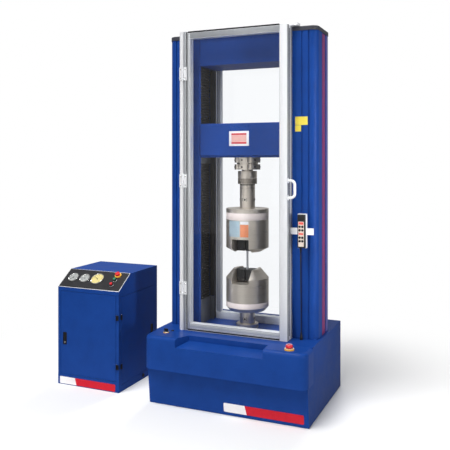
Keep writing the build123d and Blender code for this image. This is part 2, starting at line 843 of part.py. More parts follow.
with BuildPart() as lower_grip_stem:
    drum([(0, 0)], stem_radius - cover_wall - shaft_clearance, (table_bottom, table_top))
    grip_stem((table_top, lower_back), lower_back - stem_pin_offset)
keep(lower_grip_stem, "lower_grip_stem")

with BuildPart() as lower_lock_ring:
    drum([(0, 0)], lock_ring_radius, (table_top, lock_ring_top))
    chamfer(lower_lock_ring.faces().filter_by(Axis.Z).edges(), edge_break)
    drum([(0, 0)], stem_radius + shaft_clearance, (table_top, lock_ring_top), Mode.SUBTRACT)
    ring_middle = (table_top + lock_ring_top) / 2
    with BuildPart(mode=Mode.PRIVATE) as spanner_hole:
        pin(Plane.YZ.offset(lock_ring_radius - lock_hole_radius), (0, ring_middle), lock_hole_radius,
            lock_hole_radius * 2)
    for turn in range(lock_hole_count):
        add(spanner_hole.part.rotate(Axis.Z, 360 / lock_hole_count * turn), mode=Mode.SUBTRACT)
keep(lower_lock_ring, "lower_lock_ring")


# Wedge grips: a turned body with a specimen throat and an inclined pocket for two jaws
def wedge_at(depth):
    """Half width of the wedge pocket at a depth behind the nose."""
    return wedge_at_nose + depth * tan(radians(wedge_angle))


def grip_cuts(nose, into):
    """Throat, wedge pocket, specimen bore and keeper slots, cut from the nose inwards."""
    pocket = throat_depth + jaw_travel + overrun
    inner = nose + into * throat_depth
    middle = (nose - into * overrun + inner) / 2
    with BuildSketch(Plane.XZ.offset(-grip_radius)) as throat:
        with Locations((0, middle)):
            Rectangle(throat_width, throat_depth + overrun)
        fillet([corner for corner in throat.vertices() if abs(corner.Y - inner) < edge_break],
               throat_corner)
    extrude(throat.sketch, amount=2 * grip_radius, mode=Mode.SUBTRACT)
    half = jaw_half_width + seat_clearance
    slab(Plane.XZ.offset(-half), [
        (-wedge_at(0), nose), (wedge_at(0), nose),
        (wedge_at(pocket), nose + into * pocket), (-wedge_at(pocket), nose + into * pocket),
    ], 2 * half, Mode.SUBTRACT)
    drum([(0, 0)], specimen_bore, (nose, nose + into * specimen_bore_depth), Mode.SUBTRACT)


def keeper_slots(nose, into, chamfer_end):
    """Two narrow slots along the sloping nose, one each side, that hold the jaw keepers."""
    outer = [(nose_radius, nose), (grip_radius, chamfer_end), (grip_radius, chamfer_end + into * keeper_width)]
    inner = [(x - keeper_depth, z) for x, z in reversed(outer)]
    shift = into * keeper_width
    path = [(x, z + shift) if z == nose else (x, z) for x, z in outer] + inner[:2]
    for side in (-1, 1):
        slab(Plane.XZ.offset(-keeper_width / 2), [(side * (x + edge_break), z) for x, z in path],
             keeper_width, Mode.SUBTRACT)


def jaw(nose, into, side):
    """One wedge jaw: a right-angled vee round the specimen, sloping back to the pocket."""
    face = jaw_half_gap
    vee = (specimen_radius + seat_clearance) * sqrt(2)
    near = nose + into * jaw_inset
    far = nose + into * (jaw_inset + jaw_length)
    back = seat_clearance / cos(radians(wedge_angle))
    slab(Plane.XZ.offset(-jaw_half_width), [
        (side * face, near), (side * (wedge_at(jaw_inset) - back), near),
        (side * (wedge_at(jaw_inset + jaw_length) - back), far), (side * face, far),
    ], 2 * jaw_half_width)
    slab(Plane.XY.offset(min(near, far)), [
        (side * (face - edge_break), face - edge_break - vee), (side * vee, 0),
        (side * (face - edge_break), vee - face + edge_break),
    ], jaw_length, Mode.SUBTRACT)


with BuildPart() as upper_grip_body:
    lathe([
        (0, upper_nose), (nose_radius, upper_nose), (grip_radius, upper_chamfer),
        (grip_radius, upper_band[0]), (grip_radius - band_depth, upper_band[0]),
        (grip_radius - band_depth, upper_band[1]), (grip_radius, upper_band[1]),
        (grip_radius, upper_back - edge_break), (grip_radius - edge_break, upper_back), (0, upper_back),
    ])
    grip_cuts(upper_nose, 1)
keep(upper_grip_body, "upper_grip_body")

with BuildPart() as lower_grip_body:
    lathe([
        (0, lower_nose), (nose_radius, lower_nose), (grip_radius, lower_chamfer),
        (grip_radius, lower_band[1]), (grip_radius - band_depth, lower_band[1]),
        (grip_radius - band_depth, lower_band[0]), (grip_radius, lower_band[0]),
        (lower_back_radius, lower_back), (0, lower_back),
    ])
    grip_cuts(lower_nose, -1)
    keeper_slots(lower_nose, -1, lower_chamfer)
keep(lower_grip_body, "lower_grip_body")

for level, nose, into in (("upper", upper_nose, 1), ("lower", lower_nose, -1)):
    for side_name, side in (("left", -1), ("right", 1)):
        with BuildPart() as wedge_jaw:
            jaw(nose, into, side)
        keep(wedge_jaw, f"{level}_{side_name}_jaw")

with BuildPart() as test_specimen:
    low = lower_nose - specimen_in_jaws
    high = upper_nose + specimen_in_jaws
    lathe([
        (0, low), (specimen_radius, low), (specimen_radius, lower_nose),
        (specimen_gauge, lower_nose + specimen_shoulder), (specimen_gauge, upper_nose - specimen_shoulder),
        (specimen_radius, upper_nose), (specimen_radius, high), (0, high),
    ])
keep(test_specimen, "test_specimen")


# Guards: slotted profile frames with clear panes
def guard_frame(ys, zs):
    """Rectangular frame of slotted profile, with a groove for its pane all round."""
    outer_xs = (-door_half_width, door_half_width)
    inner_xs = (-door_half_width + profile, door_half_width - profile)
    block(outer_xs, ys, zs)
    block(inner_xs, ys, (zs[0] + profile, zs[1] - profile), Mode.SUBTRACT)
    grip = pane_grip + seat_clearance
    pane_front = min(ys) + pane_setback
    block((inner_xs[0] - grip, inner_xs[1] + grip),
          (pane_front - seat_clearance, pane_front + pane + seat_clearance),
          (zs[0] + profile - grip, zs[1] - profile + grip), Mode.SUBTRACT)


def guard_pane(ys, zs):
    """Clear sheet that fills the groove of a guard frame."""
    half = door_half_width - profile + pane_grip
    front = min(ys) + pane_setback
    block((-half, half), (front, front + pane), (zs[0] + profile - pane_grip, zs[1] - profile + pane_grip))


door_ys = (-door_front, -door_front + profile)
door_zs = (door_bottom, door_top)
guard_ys = (column_half_depth, column_half_depth + profile)
guard_zs = (table_top, column_top)
stile_middle = door_half_width - profile / 2
post_inner = door_half_width + post_gap
post_outer = post_inner + post_width
door_hinge = (-door_half_width - post_gap / 2, -door_front - hinge_radius)
hinge_zs = [door_bottom + share * door_height for share in hinge_shares]
door_hinge_sizes = (hinge_radius, hinge_leaf, hinge_reach)


def hinge_leaf_on(axis, along, face_side, sizes, zs, knuckle_zs):
    """A leaf lying on the face one radius behind the hinge axis, and its own knuckle."""
    radius, thickness, reach = sizes
    plane = Plane(origin=(axis[0], axis[1], 0), x_dir=(along[0], along[1], 0), z_dir=(0, 0, 1))
    middle = face_side * (radius - thickness / 2)
    clear = radius + seat_clearance
    for xs, levels in (((clear, reach), zs), ((0, clear), knuckle_zs)):
        with BuildSketch(plane.offset(levels[0])) as foot:
            with Locations(((xs[0] + xs[1]) / 2, middle)):
                Rectangle(xs[1] - xs[0], thickness)
        extrude(foot.sketch, amount=levels[1] - levels[0])
    drum([axis], radius, knuckle_zs)


def hinge_levels(base_z, height):
    """The whole leaf, its lower knuckle and its upper knuckle, with a running gap between."""
    half = (height - seat_clearance) / 2
    top = base_z + height
    return (base_z, top), (base_z, base_z + half), (top - half, top)

with BuildPart() as front_door_frame:
    guard_frame(door_ys, door_zs)
    block((-stile_middle - slot_width / 2, -stile_middle + slot_width / 2),
          (door_ys[0], door_ys[0] + slot_depth), (door_bottom, door_top), Mode.SUBTRACT)
    side_slot = (door_ys[0] + door_ys[1]) / 2
    block((door_half_width - slot_depth, door_half_width),
          (side_slot - slot_width / 2, side_slot + slot_width / 2), (door_bottom, door_top), Mode.SUBTRACT)
    for base_z in hinge_zs:
        whole, lower, upper = hinge_levels(base_z, hinge_height)
        hinge_leaf_on(door_hinge, (1, 0), 1, door_hinge_sizes, whole, upper)
        drum([door_hinge], hinge_pin + shaft_clearance, upper, Mode.SUBTRACT)
keep(front_door_frame, "front_door_frame")

with BuildPart() as front_door_panel:
    guard_pane(door_ys, door_zs)
keep(front_door_panel, "front_door_panel")

with BuildPart() as rear_guard_frame:
    guard_frame(guard_ys, guard_zs)
keep(rear_guard_frame, "rear_guard_frame")

with BuildPart() as rear_guard_panel:
    guard_pane(guard_ys, guard_zs)
keep(rear_guard_panel, "rear_guard_panel")


def post_plan(inset):
    """Section of the hollow hinge post, its two outer corners rounded."""
    xs = (-post_outer + inset, -post_inner - inset)
    with BuildSketch(Plane.XY, mode=Mode.PRIVATE) as plan:
        with Locations(((xs[0] + xs[1]) / 2, -door_front + post_depth / 2)):
            Rectangle(xs[1] - xs[0], post_depth - 2 * inset)
        fillet(plan.vertices().group_by(Axis.X)[0], post_round - inset)
    return plan.sketch


def column_brackets(xs, back):
    """Short blocks that carry a post off the face of its column."""
    step = (column_top - table_top) / bracket_count
    for index in range(bracket_count):
        middle = table_top + (index + 1 / 2) * step
        block(xs, (back, -column_half_depth), (middle - bracket_height / 2, middle + bracket_height / 2))


post_back = -door_front + post_depth
with BuildPart() as hinge_post:
    extrude(Plane.XY.offset(table_top) * post_plan(0), amount=door_top - table_top)
    extrude(Plane.XY.offset(table_top) * post_plan(post_wall), amount=door_top - table_top,
            mode=Mode.SUBTRACT)
    column_brackets((-post_outer + post_wall, -post_inner - post_wall), post_back)

# The strike post stands behind the closed door, just off the cap of the right column
strike_xs = (door_half_width - profile, door_half_width)
strike_ys = (door_ys[1] + strike_gap, -column_half_depth - cap_overhang - seat_clearance)
with BuildPart() as strike_post:
    block(strike_xs, strike_ys, (table_top, column_top + cap_height))
    block((strike_xs[0] + post_wall, strike_xs[1] - post_wall - slot_depth),
          (strike_ys[0] + post_wall, strike_ys[1] - post_wall), (table_top, column_top + cap_height),
          Mode.SUBTRACT)
    strike_middle = (strike_ys[0] + strike_ys[1]) / 2
    block((strike_xs[1] - slot_depth, strike_xs[1]),
          (strike_middle - strike_side_slot / 2, strike_middle + strike_side_slot / 2),
          (table_top, column_top + cap_height), Mode.SUBTRACT)
    column_brackets((strike_xs[0] + post_wall, strike_xs[1] - post_wall), strike_ys[1])

with BuildPart() as guard_top_bar:
    with BuildSketch(Plane.XY.offset(column_top + cap_height)) as bar_plan:
        with Locations((0, (post_back - top_bar_back) / 2)):
            Rectangle(2 * top_bar_half_width, -top_bar_back - post_back)
        fillet(bar_plan.vertices().group_by(Axis.Y)[0], top_bar_corner)
    extrude(bar_plan.sketch, amount=top_bar_height)
    fillet(guard_top_bar.faces().sort_by(Axis.Z)[-1].edges(), cap_edge)

with BuildPart() as door_posts:
    add(hinge_post.part)
    add(strike_post.part)
    for base_z in hinge_zs:
        whole, lower, upper = hinge_levels(base_z, hinge_height)
        hinge_leaf_on(door_hinge, (-1, 0), -1, door_hinge_sizes, whole, lower)
        drum([door_hinge], hinge_pin, whole)
    add(guard_top_bar.part)
keep(door_posts, "door_posts")

with BuildPart() as door_handle:
    handle_y = (door_ys[0] + door_ys[1]) / 2
    handle_middle = door_bottom + handle_share * door_height
    handle_zs = (handle_middle - handle_spread / 2, handle_middle + handle_spread / 2)
    handle_reach = door_half_width + handle_throw
    bent_rod([
        (door_half_width, handle_y, handle_zs[1]), (handle_reach, handle_y, handle_zs[1]),
        (handle_reach, handle_y, handle_zs[0]), (door_half_width, handle_y, handle_zs[0]),
    ], handle_bend, handle_rod)
    for foot_z in handle_zs:
        pin(Plane.YZ.offset(door_half_width), (handle_y, foot_z), handle_foot_radius, handle_foot_height)
keep(door_handle, "door_handle")

# Pendant, its cradle and its cord
strip_front = strike_ys[0] - bracket_plate
strip_middle = door_bottom + bracket_share * door_height
bracket_zs = (strip_middle - bracket_strip / 2, strip_middle + bracket_strip / 2)
pendant_back = strip_front - cradle_wall
pendant_xs = (pendant_left, pendant_left + pendant_width)
pendant_zs = (bracket_zs[0] - pendant_drop, bracket_zs[0] - pendant_drop + pendant_length)

with BuildPart() as pendant_bracket:
    block((bracket_inner, bracket_inner + bracket_length), (strip_front, strike_ys[0]), bracket_zs)
    cradle_xs = (pendant_xs[0] - cradle_margin, pendant_xs[1] + cradle_margin)
    cradle_zs = (pendant_zs[0] - cradle_margin, pendant_zs[1] + cradle_margin)
    cradle_ys = (pendant_back - cradle_depth, strip_front)
    block(cradle_xs, cradle_ys, cradle_zs)
    fillet([edge for edge in pendant_bracket.edges().filter_by(Axis.Y)
            if edge.length > cradle_depth], pendant_round)
    inner_margin = seat_clearance
    block((pendant_xs[0] - inner_margin, pendant_xs[1] + inner_margin), (cradle_ys[0], pendant_back),
          (pendant_zs[0] - cradle_margin, pendant_zs[1] + inner_margin), Mode.SUBTRACT)
keep(pendant_bracket, "pendant_bracket")

with BuildPart() as pendant_case:
    block(pendant_xs, (pendant_back - pendant_depth, pendant_back), pendant_zs)
    front_edges = pendant_case.faces().sort_by(Axis.Y)[0].edges()
    fillet(front_edges, edge_break * 2)
keep(pendant_case, "pendant_case")

with BuildPart() as cord_gland:
    drum([(gland_x, gland_y)], gland_radius, (table_top, table_top + gland_height))
    fillet(cord_gland.faces().sort_by(Axis.Z)[-1].edges(), edge_break)
keep(cord_gland, "cord_gland")

cord_points = [
    (pendant_xs[0] + pendant_width / 3, pendant_back - pendant_depth / 2, pendant_zs[0]),
    (401.0, -192.0, 884.0),
    (401.0, -189.0, 800.0),
    (399.0, -179.0, 712.0),
    (396.0, -166.0, 622.0),
    (391.0, -151.0, 532.0),
    (gland_x, gland_y, table_top + gland_height),
]


def cord_radii(points):
    """For each corner, 0.45 of the shorter run over the tangent of half the turn."""
    radii = []
    for before, corner, after in zip(points, points[1:], points[2:]):
        arriving = Vector(*corner) - Vector(*before)
        leaving = Vector(*after) - Vector(*corner)
        turn = radians(arriving.get_angle(leaving))
        radii.append(0.45 * min(arriving.length, leaving.length) / tan(turn / 2))
    return radii


radii = cord_radii(cord_points)
print("cord radii, mm:", [round(radius) for radius in radii])
with BuildPart() as pendant_cord:
    bent_rod(cord_points, radii, cord_radius)
cord_length = pendant_cord.part.volume / (pi * cord_radius ** 2)
print("cord length by volume, mm:", round(cord_length, 1))
keep(pendant_cord, "pendant_cord")

# Stop button and power switch on the front cover
with BuildPart() as control_bezels:
    drum([(stop_x, stop_y)], stop_collar_radius, (table_top, table_top + stop_collar_height))
    drum([(switch_x, switch_y)], switch_bezel_radius, (table_top, table_top + switch_bezel_height))
    chamfer(control_bezels.faces().filter_by(Axis.Z).group_by(Axis.Z)[-1].edges(), edge_break)
    chamfer(control_bezels.faces().filter_by(Axis.Z).group_by(Axis.Z)[-2].edges(), edge_break)
    drum([(stop_x, stop_y)], stop_stem_radius + shaft_clearance,
         (table_top, table_top + stop_collar_height), Mode.SUBTRACT)
    drum([(switch_x, switch_y)], switch_stem_radius + shaft_clearance,
         (table_top, table_top + switch_bezel_height), Mode.SUBTRACT)
keep(control_bezels, "control_bezels")


def mushroom(plane, centre, stem, stem_zs, head, head_height):
    """A palm button: a stem through its collar and a domed head, along a plane's normal."""
    pin(plane.offset(stem_zs[0]), centre, stem, stem_zs[1] - stem_zs[0])
    pin(plane.offset(stem_zs[1]), centre, head, head_height)


with BuildPart() as stop_button:
    head_z = stop_collar_height + stop_gap
    mushroom(Plane.XY.offset(table_top), (stop_x, stop_y), stop_stem_radius,
             (-stop_stem_below, head_z), stop_head_radius, stop_head_height)
    fillet(stop_button.faces().sort_by(Axis.Z)[-1].edges(), stop_head_height / 2)
keep(stop_button, "stop_button")

with BuildPart() as power_switch:
    knob_z = table_top + switch_bezel_height + seat_clearance
    drum([(switch_x, switch_y)], switch_stem_radius, (table_top - stop_stem_below, knob_z))
    drum([(switch_x, switch_y)], switch_knob_radius, (knob_z, knob_z + switch_knob_height))
    block((switch_x - switch_knob_radius, switch_x + switch_knob_radius),
          (switch_y - switch_bar_width / 2, switch_y + switch_bar_width / 2),
          (knob_z + switch_knob_height, knob_z + switch_knob_height + switch_bar_height))
keep(power_switch, "power_switch")


# Power unit: folded sheet case, doors, sloping control panel and pump set
def unit_outline(inset):
    """Side outline of the power unit's case, moved inwards by a wall."""
    with BuildSketch(Plane.YZ, mode=Mode.PRIVATE) as side:
        with BuildLine():
            Polyline((unit_front, 0), (unit_front, unit_front_top), (unit_slope_back, unit_top),
                     (unit_rear, unit_top), (unit_rear, 0), close=True)
        make_face()
        if inset:
            offset(amount=-inset, kind=Kind.INTERSECTION, mode=Mode.REPLACE)
    return side.sketch


front_door_xs = (unit_left + unit_door_margin, unit_right - unit_door_margin)
front_door_zs = (unit_door_bottom, unit_door_top)
side_door_ys = (side_door_front, side_door_rear)
side_door_zs = (side_door_bottom, side_door_top)
slope_length = hypot(unit_slope_back - unit_front, unit_top - unit_front_top)
slope_rise = (unit_top - unit_front_top) / slope_length
slope_run = (unit_slope_back - unit_front) / slope_length
slope_plane = Plane(origin=(unit_left, unit_front, unit_front_top), x_dir=(1, 0, 0),
                    z_dir=(0, -slope_rise, slope_run))
unit_width = unit_right - unit_left
front_hinge = (front_door_xs[1] + panel_gap / 2, unit_front - unit_hinge_radius)
side_hinge = (unit_right + unit_hinge_radius, side_door_ys[0] - panel_gap / 2)
unit_hinge_sizes = (unit_hinge_radius, unit_hinge_leaf, unit_hinge_reach)

with BuildPart() as power_unit_case:
    extrude(Plane.YZ.offset(unit_left) * (Plane.YZ.to_local_coords(unit_outline(0))), amount=unit_width)
    inner_side = Plane.YZ.to_local_coords(unit_outline(unit_sheet))
    extrude(Plane.YZ.offset(unit_left + unit_sheet) * inner_side, amount=unit_width - 2 * unit_sheet,
            mode=Mode.SUBTRACT)
    block((front_door_xs[0] - panel_gap, front_door_xs[1] + panel_gap),
          (unit_front - overrun, unit_front + overrun),
          (front_door_zs[0] - panel_gap, front_door_zs[1] + panel_gap), Mode.SUBTRACT)
    block((unit_right - overrun, unit_right + overrun),
          (side_door_ys[0] - panel_gap, side_door_ys[1] + panel_gap),
          (side_door_zs[0] - panel_gap, side_door_zs[1] + panel_gap), Mode.SUBTRACT)
    with BuildSketch(slope_plane.offset(-unit_sheet)) as slope_hole:
        with Locations((unit_width / 2, slope_length / 2)):
            Rectangle(unit_width - 2 * unit_door_margin, slope_length - 2 * unit_door_margin)
    extrude(slope_hole.sketch, amount=2 * unit_sheet, mode=Mode.SUBTRACT)
    for base_z in unit_hinge_zs:
        whole, lower, upper = hinge_levels(base_z, unit_hinge_height)
        hinge_leaf_on(front_hinge, (1, 0), 1, unit_hinge_sizes, whole, lower)
        hinge_leaf_on(side_hinge, (0, -1), -1, unit_hinge_sizes, whole, lower)
        drum([front_hinge, side_hinge], unit_hinge_pin, whole)
keep(power_unit_case, "power_unit_case")


def folded_door(span, zs, upright, outward):
    """Flat door pan with returned edges; upright draws it, outward is its thickness."""
    with BuildSketch(upright) as pan:
        with Locations(((span[0] + span[1]) / 2, (zs[0] + zs[1]) / 2)):
            Rectangle(span[1] - span[0], zs[1] - zs[0])
    extrude(pan.sketch, amount=outward)
    with BuildSketch(upright) as hollow:
        with Locations(((span[0] + span[1]) / 2, (zs[0] + zs[1]) / 2)):
            Rectangle(span[1] - span[0] - 2 * unit_sheet, zs[1] - zs[0] - 2 * unit_sheet)
    extrude(hollow.sketch, amount=outward - unit_sheet, mode=Mode.SUBTRACT)


latch_zs = (latch_z - latch_height / 2, latch_z + latch_height / 2)
front_latch_x = front_door_xs[0] + latch_inset
side_latch_y = side_door_ys[1] - latch_inset

with BuildPart() as power_unit_front_door:
    folded_door(front_door_xs, front_door_zs, Plane.XZ.offset(-unit_front - unit_door_fold), unit_door_fold)
    block((front_latch_x - latch_width / 2, front_latch_x + latch_width / 2),
          (unit_front - overrun, unit_front + overrun), latch_zs, Mode.SUBTRACT)
    for base_z in unit_hinge_zs:
        whole, lower, upper = hinge_levels(base_z, unit_hinge_height)
        hinge_leaf_on(front_hinge, (-1, 0), -1, unit_hinge_sizes, whole, upper)
        drum([front_hinge], unit_hinge_pin + shaft_clearance, upper, Mode.SUBTRACT)
keep(power_unit_front_door, "power_unit_front_door")

with BuildPart() as power_unit_side_door:
    folded_door(side_door_ys, side_door_zs, Plane.YZ.offset(unit_right - unit_door_fold), unit_door_fold)
    block((unit_right - overrun, unit_right + overrun),
          (side_latch_y - latch_width / 2, side_latch_y + latch_width / 2), latch_zs, Mode.SUBTRACT)
    for base_z in unit_hinge_zs:
        whole, lower, upper = hinge_levels(base_z, unit_hinge_height)
        hinge_leaf_on(side_hinge, (0, 1), 1, unit_hinge_sizes, whole, upper)
        drum([side_hinge], unit_hinge_pin + shaft_clearance, upper, Mode.SUBTRACT)
keep(power_unit_side_door, "power_unit_side_door")

# Each paddle hangs from a round barrel along its top edge, as thick as twice its plate
inset = seat_clearance
paddle_zs = (latch_zs[0] + inset, latch_zs[1] - inset)
barrel_z = paddle_zs[1] - latch_plate
with BuildPart() as front_latch:
    front_paddle_xs = (front_latch_x - latch_width / 2 + inset, front_latch_x + latch_width / 2 - inset)
    block(front_paddle_xs, (unit_front, unit_front + latch_plate), (paddle_zs[0], barrel_z))
    pin(Plane.YZ.offset(front_paddle_xs[0]), (unit_front + latch_plate, barrel_z), latch_plate,
        front_paddle_xs[1] - front_paddle_xs[0])
keep(front_latch, "front_latch")

with BuildPart() as side_latch:
    side_paddle_ys = (side_latch_y - latch_width / 2 + inset, side_latch_y + latch_width / 2 - inset)
    block((unit_right - latch_plate, unit_right), side_paddle_ys, (paddle_zs[0], barrel_z))
    pin(Plane.XZ.offset(-side_paddle_ys[1]), (unit_right - latch_plate, barrel_z), latch_plate,
        side_paddle_ys[1] - side_paddle_ys[0])
keep(side_latch, "side_latch")

panel_face = slope_plane.offset(unit_panel_plate)
round_places = (unit_stop_place, unit_start_place, unit_off_place)
collar_radii = (unit_stop_collar_radius, unit_collar_radius, unit_collar_radius)

with BuildPart() as power_unit_panel:
    with BuildSketch(slope_plane) as plate:
        with Locations((unit_width / 2, slope_length / 2)):
            Rectangle(unit_width - 2 * unit_panel_margin, slope_length - 2 * unit_panel_margin)
    extrude(plate.sketch, amount=unit_panel_plate)
    for place, radius in zip(gauge_places, gauge_radii):
        pin(slope_plane, place, radius * gauge_body_share + seat_clearance, unit_panel_plate, Mode.SUBTRACT)
    for place, radius in zip(round_places, collar_radii):
        pin(panel_face, place, radius, unit_collar_height)
        pin(slope_plane, place, unit_button_stem + shaft_clearance, unit_panel_plate + unit_collar_height,
            Mode.SUBTRACT)
keep(power_unit_panel, "power_unit_panel")

with BuildPart() as pressure_gauges:
    for place, radius in zip(gauge_places, gauge_radii):
        pin(panel_face, place, radius, gauge_rim)
        pin(panel_face.offset(gauge_rim - gauge_face_depth), place, radius - gauge_rim_wall,
            gauge_face_depth, Mode.SUBTRACT)
        pin(panel_face.offset(-gauge_body), place, radius * gauge_body_share, gauge_body)
keep(pressure_gauges, "pressure_gauges")

collar_face = panel_face.offset(unit_collar_height)
stem_zs = (-unit_panel_plate - unit_collar_height, unit_button_gap)
with BuildPart() as unit_stop_button:
    mushroom(collar_face, unit_stop_place, unit_button_stem, stem_zs, unit_stop_head, unit_stop_height)
keep(unit_stop_button, "unit_stop_button")

for name, place in (("unit_start_button", unit_start_place), ("unit_off_button", unit_off_place)):
    with BuildPart() as small_button:
        mushroom(collar_face, place, unit_button_stem, stem_zs, unit_button_radius, unit_button_height)
    keep(small_button, name)

with BuildPart() as hydraulic_pump_set:
    tank_xs = (unit_left + tank_margin, unit_right - tank_margin)
    tank_ys = (unit_front + tank_margin, unit_rear - tank_margin)
    tank_zs = (unit_sheet, tank_height)
    block(tank_xs, tank_ys, tank_zs)
    pump_z = tank_height + pump_radius
    pump_x = (tank_xs[0] + tank_xs[1]) / 2
    pump_y = (tank_ys[0] + tank_ys[1]) / 2
    pin(Plane.YZ.offset(pump_x - pump_length / 2), (pump_y, pump_z), pump_radius, pump_length)
    block((pump_x + pump_length / 2, pump_x + pump_length / 2 + pump_block),
          (pump_y - pump_block / 2, pump_y + pump_block / 2), (tank_height, tank_height + 2 * pump_radius))
keep(hydraulic_pump_set, "hydraulic_pump_set")
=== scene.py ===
"""Universal testing machine with its hydraulic power unit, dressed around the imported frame."""
import json
import math

import bmesh
import bpy
from mathutils import Matrix, Vector


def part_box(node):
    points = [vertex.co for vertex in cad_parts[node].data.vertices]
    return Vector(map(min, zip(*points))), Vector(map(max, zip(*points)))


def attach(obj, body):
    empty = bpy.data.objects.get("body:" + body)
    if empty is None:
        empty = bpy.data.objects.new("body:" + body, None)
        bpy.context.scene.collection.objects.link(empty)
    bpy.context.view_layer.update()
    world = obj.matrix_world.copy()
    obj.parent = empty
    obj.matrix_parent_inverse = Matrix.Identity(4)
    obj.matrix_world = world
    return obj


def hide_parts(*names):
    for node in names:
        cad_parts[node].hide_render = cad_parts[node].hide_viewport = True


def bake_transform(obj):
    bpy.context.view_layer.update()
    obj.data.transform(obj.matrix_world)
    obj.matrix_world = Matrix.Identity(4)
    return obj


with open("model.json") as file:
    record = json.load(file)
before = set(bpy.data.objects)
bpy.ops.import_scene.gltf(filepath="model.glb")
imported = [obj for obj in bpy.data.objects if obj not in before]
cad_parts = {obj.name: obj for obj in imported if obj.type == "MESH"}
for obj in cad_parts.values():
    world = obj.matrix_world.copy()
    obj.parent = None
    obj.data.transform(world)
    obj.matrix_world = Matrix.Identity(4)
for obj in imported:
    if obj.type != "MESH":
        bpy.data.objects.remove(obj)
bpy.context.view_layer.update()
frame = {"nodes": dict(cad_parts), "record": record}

bl_info = {
    "name": "Universal testing machine",
    "version": (1, 0, 0),
    "blender": (4, 5, 0),
    "location": "View3D > Sidebar > Testing machine",
    "description": "Dresses the frame of a testing machine and its power unit",
    "category": "Object",
}

MM = 0.001
# The power unit's sloping panel: its length, and the run and rise of one part of it
SLOPE_LENGTH = 167.538
SLOPE_RUN, SLOPE_RISE = 138.0 / SLOPE_LENGTH, 95.0 / SLOPE_LENGTH
# Local x, y, z of a face's own plane, with z pointing out of the machine
TOP = Matrix.Identity(4)
FRONT = Matrix(((1, 0, 0, 0), (0, 0, -1, 0), (0, 1, 0, 0), (0, 0, 0, 1)))
REAR = Matrix(((-1, 0, 0, 0), (0, 0, 1, 0), (0, 1, 0, 0), (0, 0, 0, 1)))
RIGHT = Matrix(((0, 0, 1, 0), (1, 0, 0, 0), (0, 1, 0, 0), (0, 0, 0, 1)))
LEFT = Matrix(((0, 0, -1, 0), (-1, 0, 0, 0), (0, 1, 0, 0), (0, 0, 0, 1)))
SLOPE = Matrix(((1, 0, 0, 0), (0, SLOPE_RUN, -SLOPE_RISE, 0), (0, SLOPE_RISE, SLOPE_RUN, 0), (0, 0, 0, 1)))
PANEL_CORNER = (-1211.0, -302.0, 633.0)
PANEL_PLATE = 4.0
# Levels and faces that several pieces share, in mm, as the frame has them
TABLE_TOP, COLUMN_TOP, FRAME_TOP = 421.0, 2212.0, 2238.0
FRAME_FRONT, COLUMN_SIDE, BASE_REAR = -125.0, 480.0, 383.0
UNIT_FRONT, UNIT_REAR, UNIT_RIGHT = -302.0, 182.0, -746.0
STOP_CENTRE = (388, -365)
GRIP_RADIUS, STEM_RADIUS = 132.0, 45.4
BELLOWS_INNER = 0.3
# The door, the post that it strikes and the rear guard
DOOR_LOW, DOOR_HIGH, DOOR_HALF, DOOR_FRONT, HANDLE_LINE = 423.0, 2241.0, 330.0, -228.0, -205.5
DOOR_MIDDLE, DOOR_LENGTH = (DOOR_LOW + DOOR_HIGH) / 2, DOOR_HIGH - DOOR_LOW
POST_MIDDLE, POST_LENGTH = (FRAME_TOP + TABLE_TOP) / 2, FRAME_TOP - TABLE_TOP
PROFILE = 45.0
RAILS = 2 * (DOOR_HALF - PROFILE)
HINGE_BASES = (639.3, 1292.0, 1944.7)
GUARD_FRONT, GUARD_REAR, GUARD_MIDDLE = 125.0, 170.0, 1316.5
# The white surroundings' strength in mirrors and as a fill, where 1 is white
MIRRORED_FRONT, MIRRORED_BEHIND, MIRRORED_FLOOR, FILL_LEVEL = 0.7, 0.05, 0.12, 0.3
# The camera: the picture's side, the focal length and the horizon's row in its pixels, and the sensor's side in mm
PICTURE, FOCAL, HORIZON, SENSOR = 450, 643.9, 160.27, 36.0
# Finishes that many pieces take
STEEL, DARK, BLACK = "bright ground steel", "black oxide steel", "black plastic"


def linear(hex_colour):
    """A colour written as sRGB hex, as the linear colour that a socket takes."""
    parts = [int(hex_colour[i:i + 2], 16) / 255 for i in (1, 3, 5)]
    return tuple(c / 12.92 if c <= 0.04045 else ((c + 0.055) / 1.055) ** 2.4 for c in parts) + (1.0,)


def feed(node, inputs):
    """Sets each input of a node, or links it to a socket or to another node's first output."""
    for key, value in inputs.items():
        if isinstance(value, bpy.types.Node):
            value = value.outputs[0]
        if isinstance(value, bpy.types.NodeSocket):
            node.id_data.links.new(value, node.inputs[key])
        else:
            node.inputs[key].default_value = value


def add(tree, kind, inputs=None, **settings):
    """Adds a node with its settings and what its inputs take."""
    node = tree.nodes.new("ShaderNode" + kind)
    for key, value in settings.items():
        setattr(node, key, value)
    feed(node, inputs or {})
    return node


# Modelling
def clear():
    """Leaves object mode with nothing selected."""
    if bpy.context.object and bpy.context.object.mode == "EDIT":
        bpy.ops.object.mode_set(mode="OBJECT")
    bpy.ops.object.select_all(action="DESELECT")


def hold(piece):
    """Makes a piece the only one that the next operator works on."""
    clear()
    piece.select_set(True)
    bpy.context.view_layer.objects.active = piece


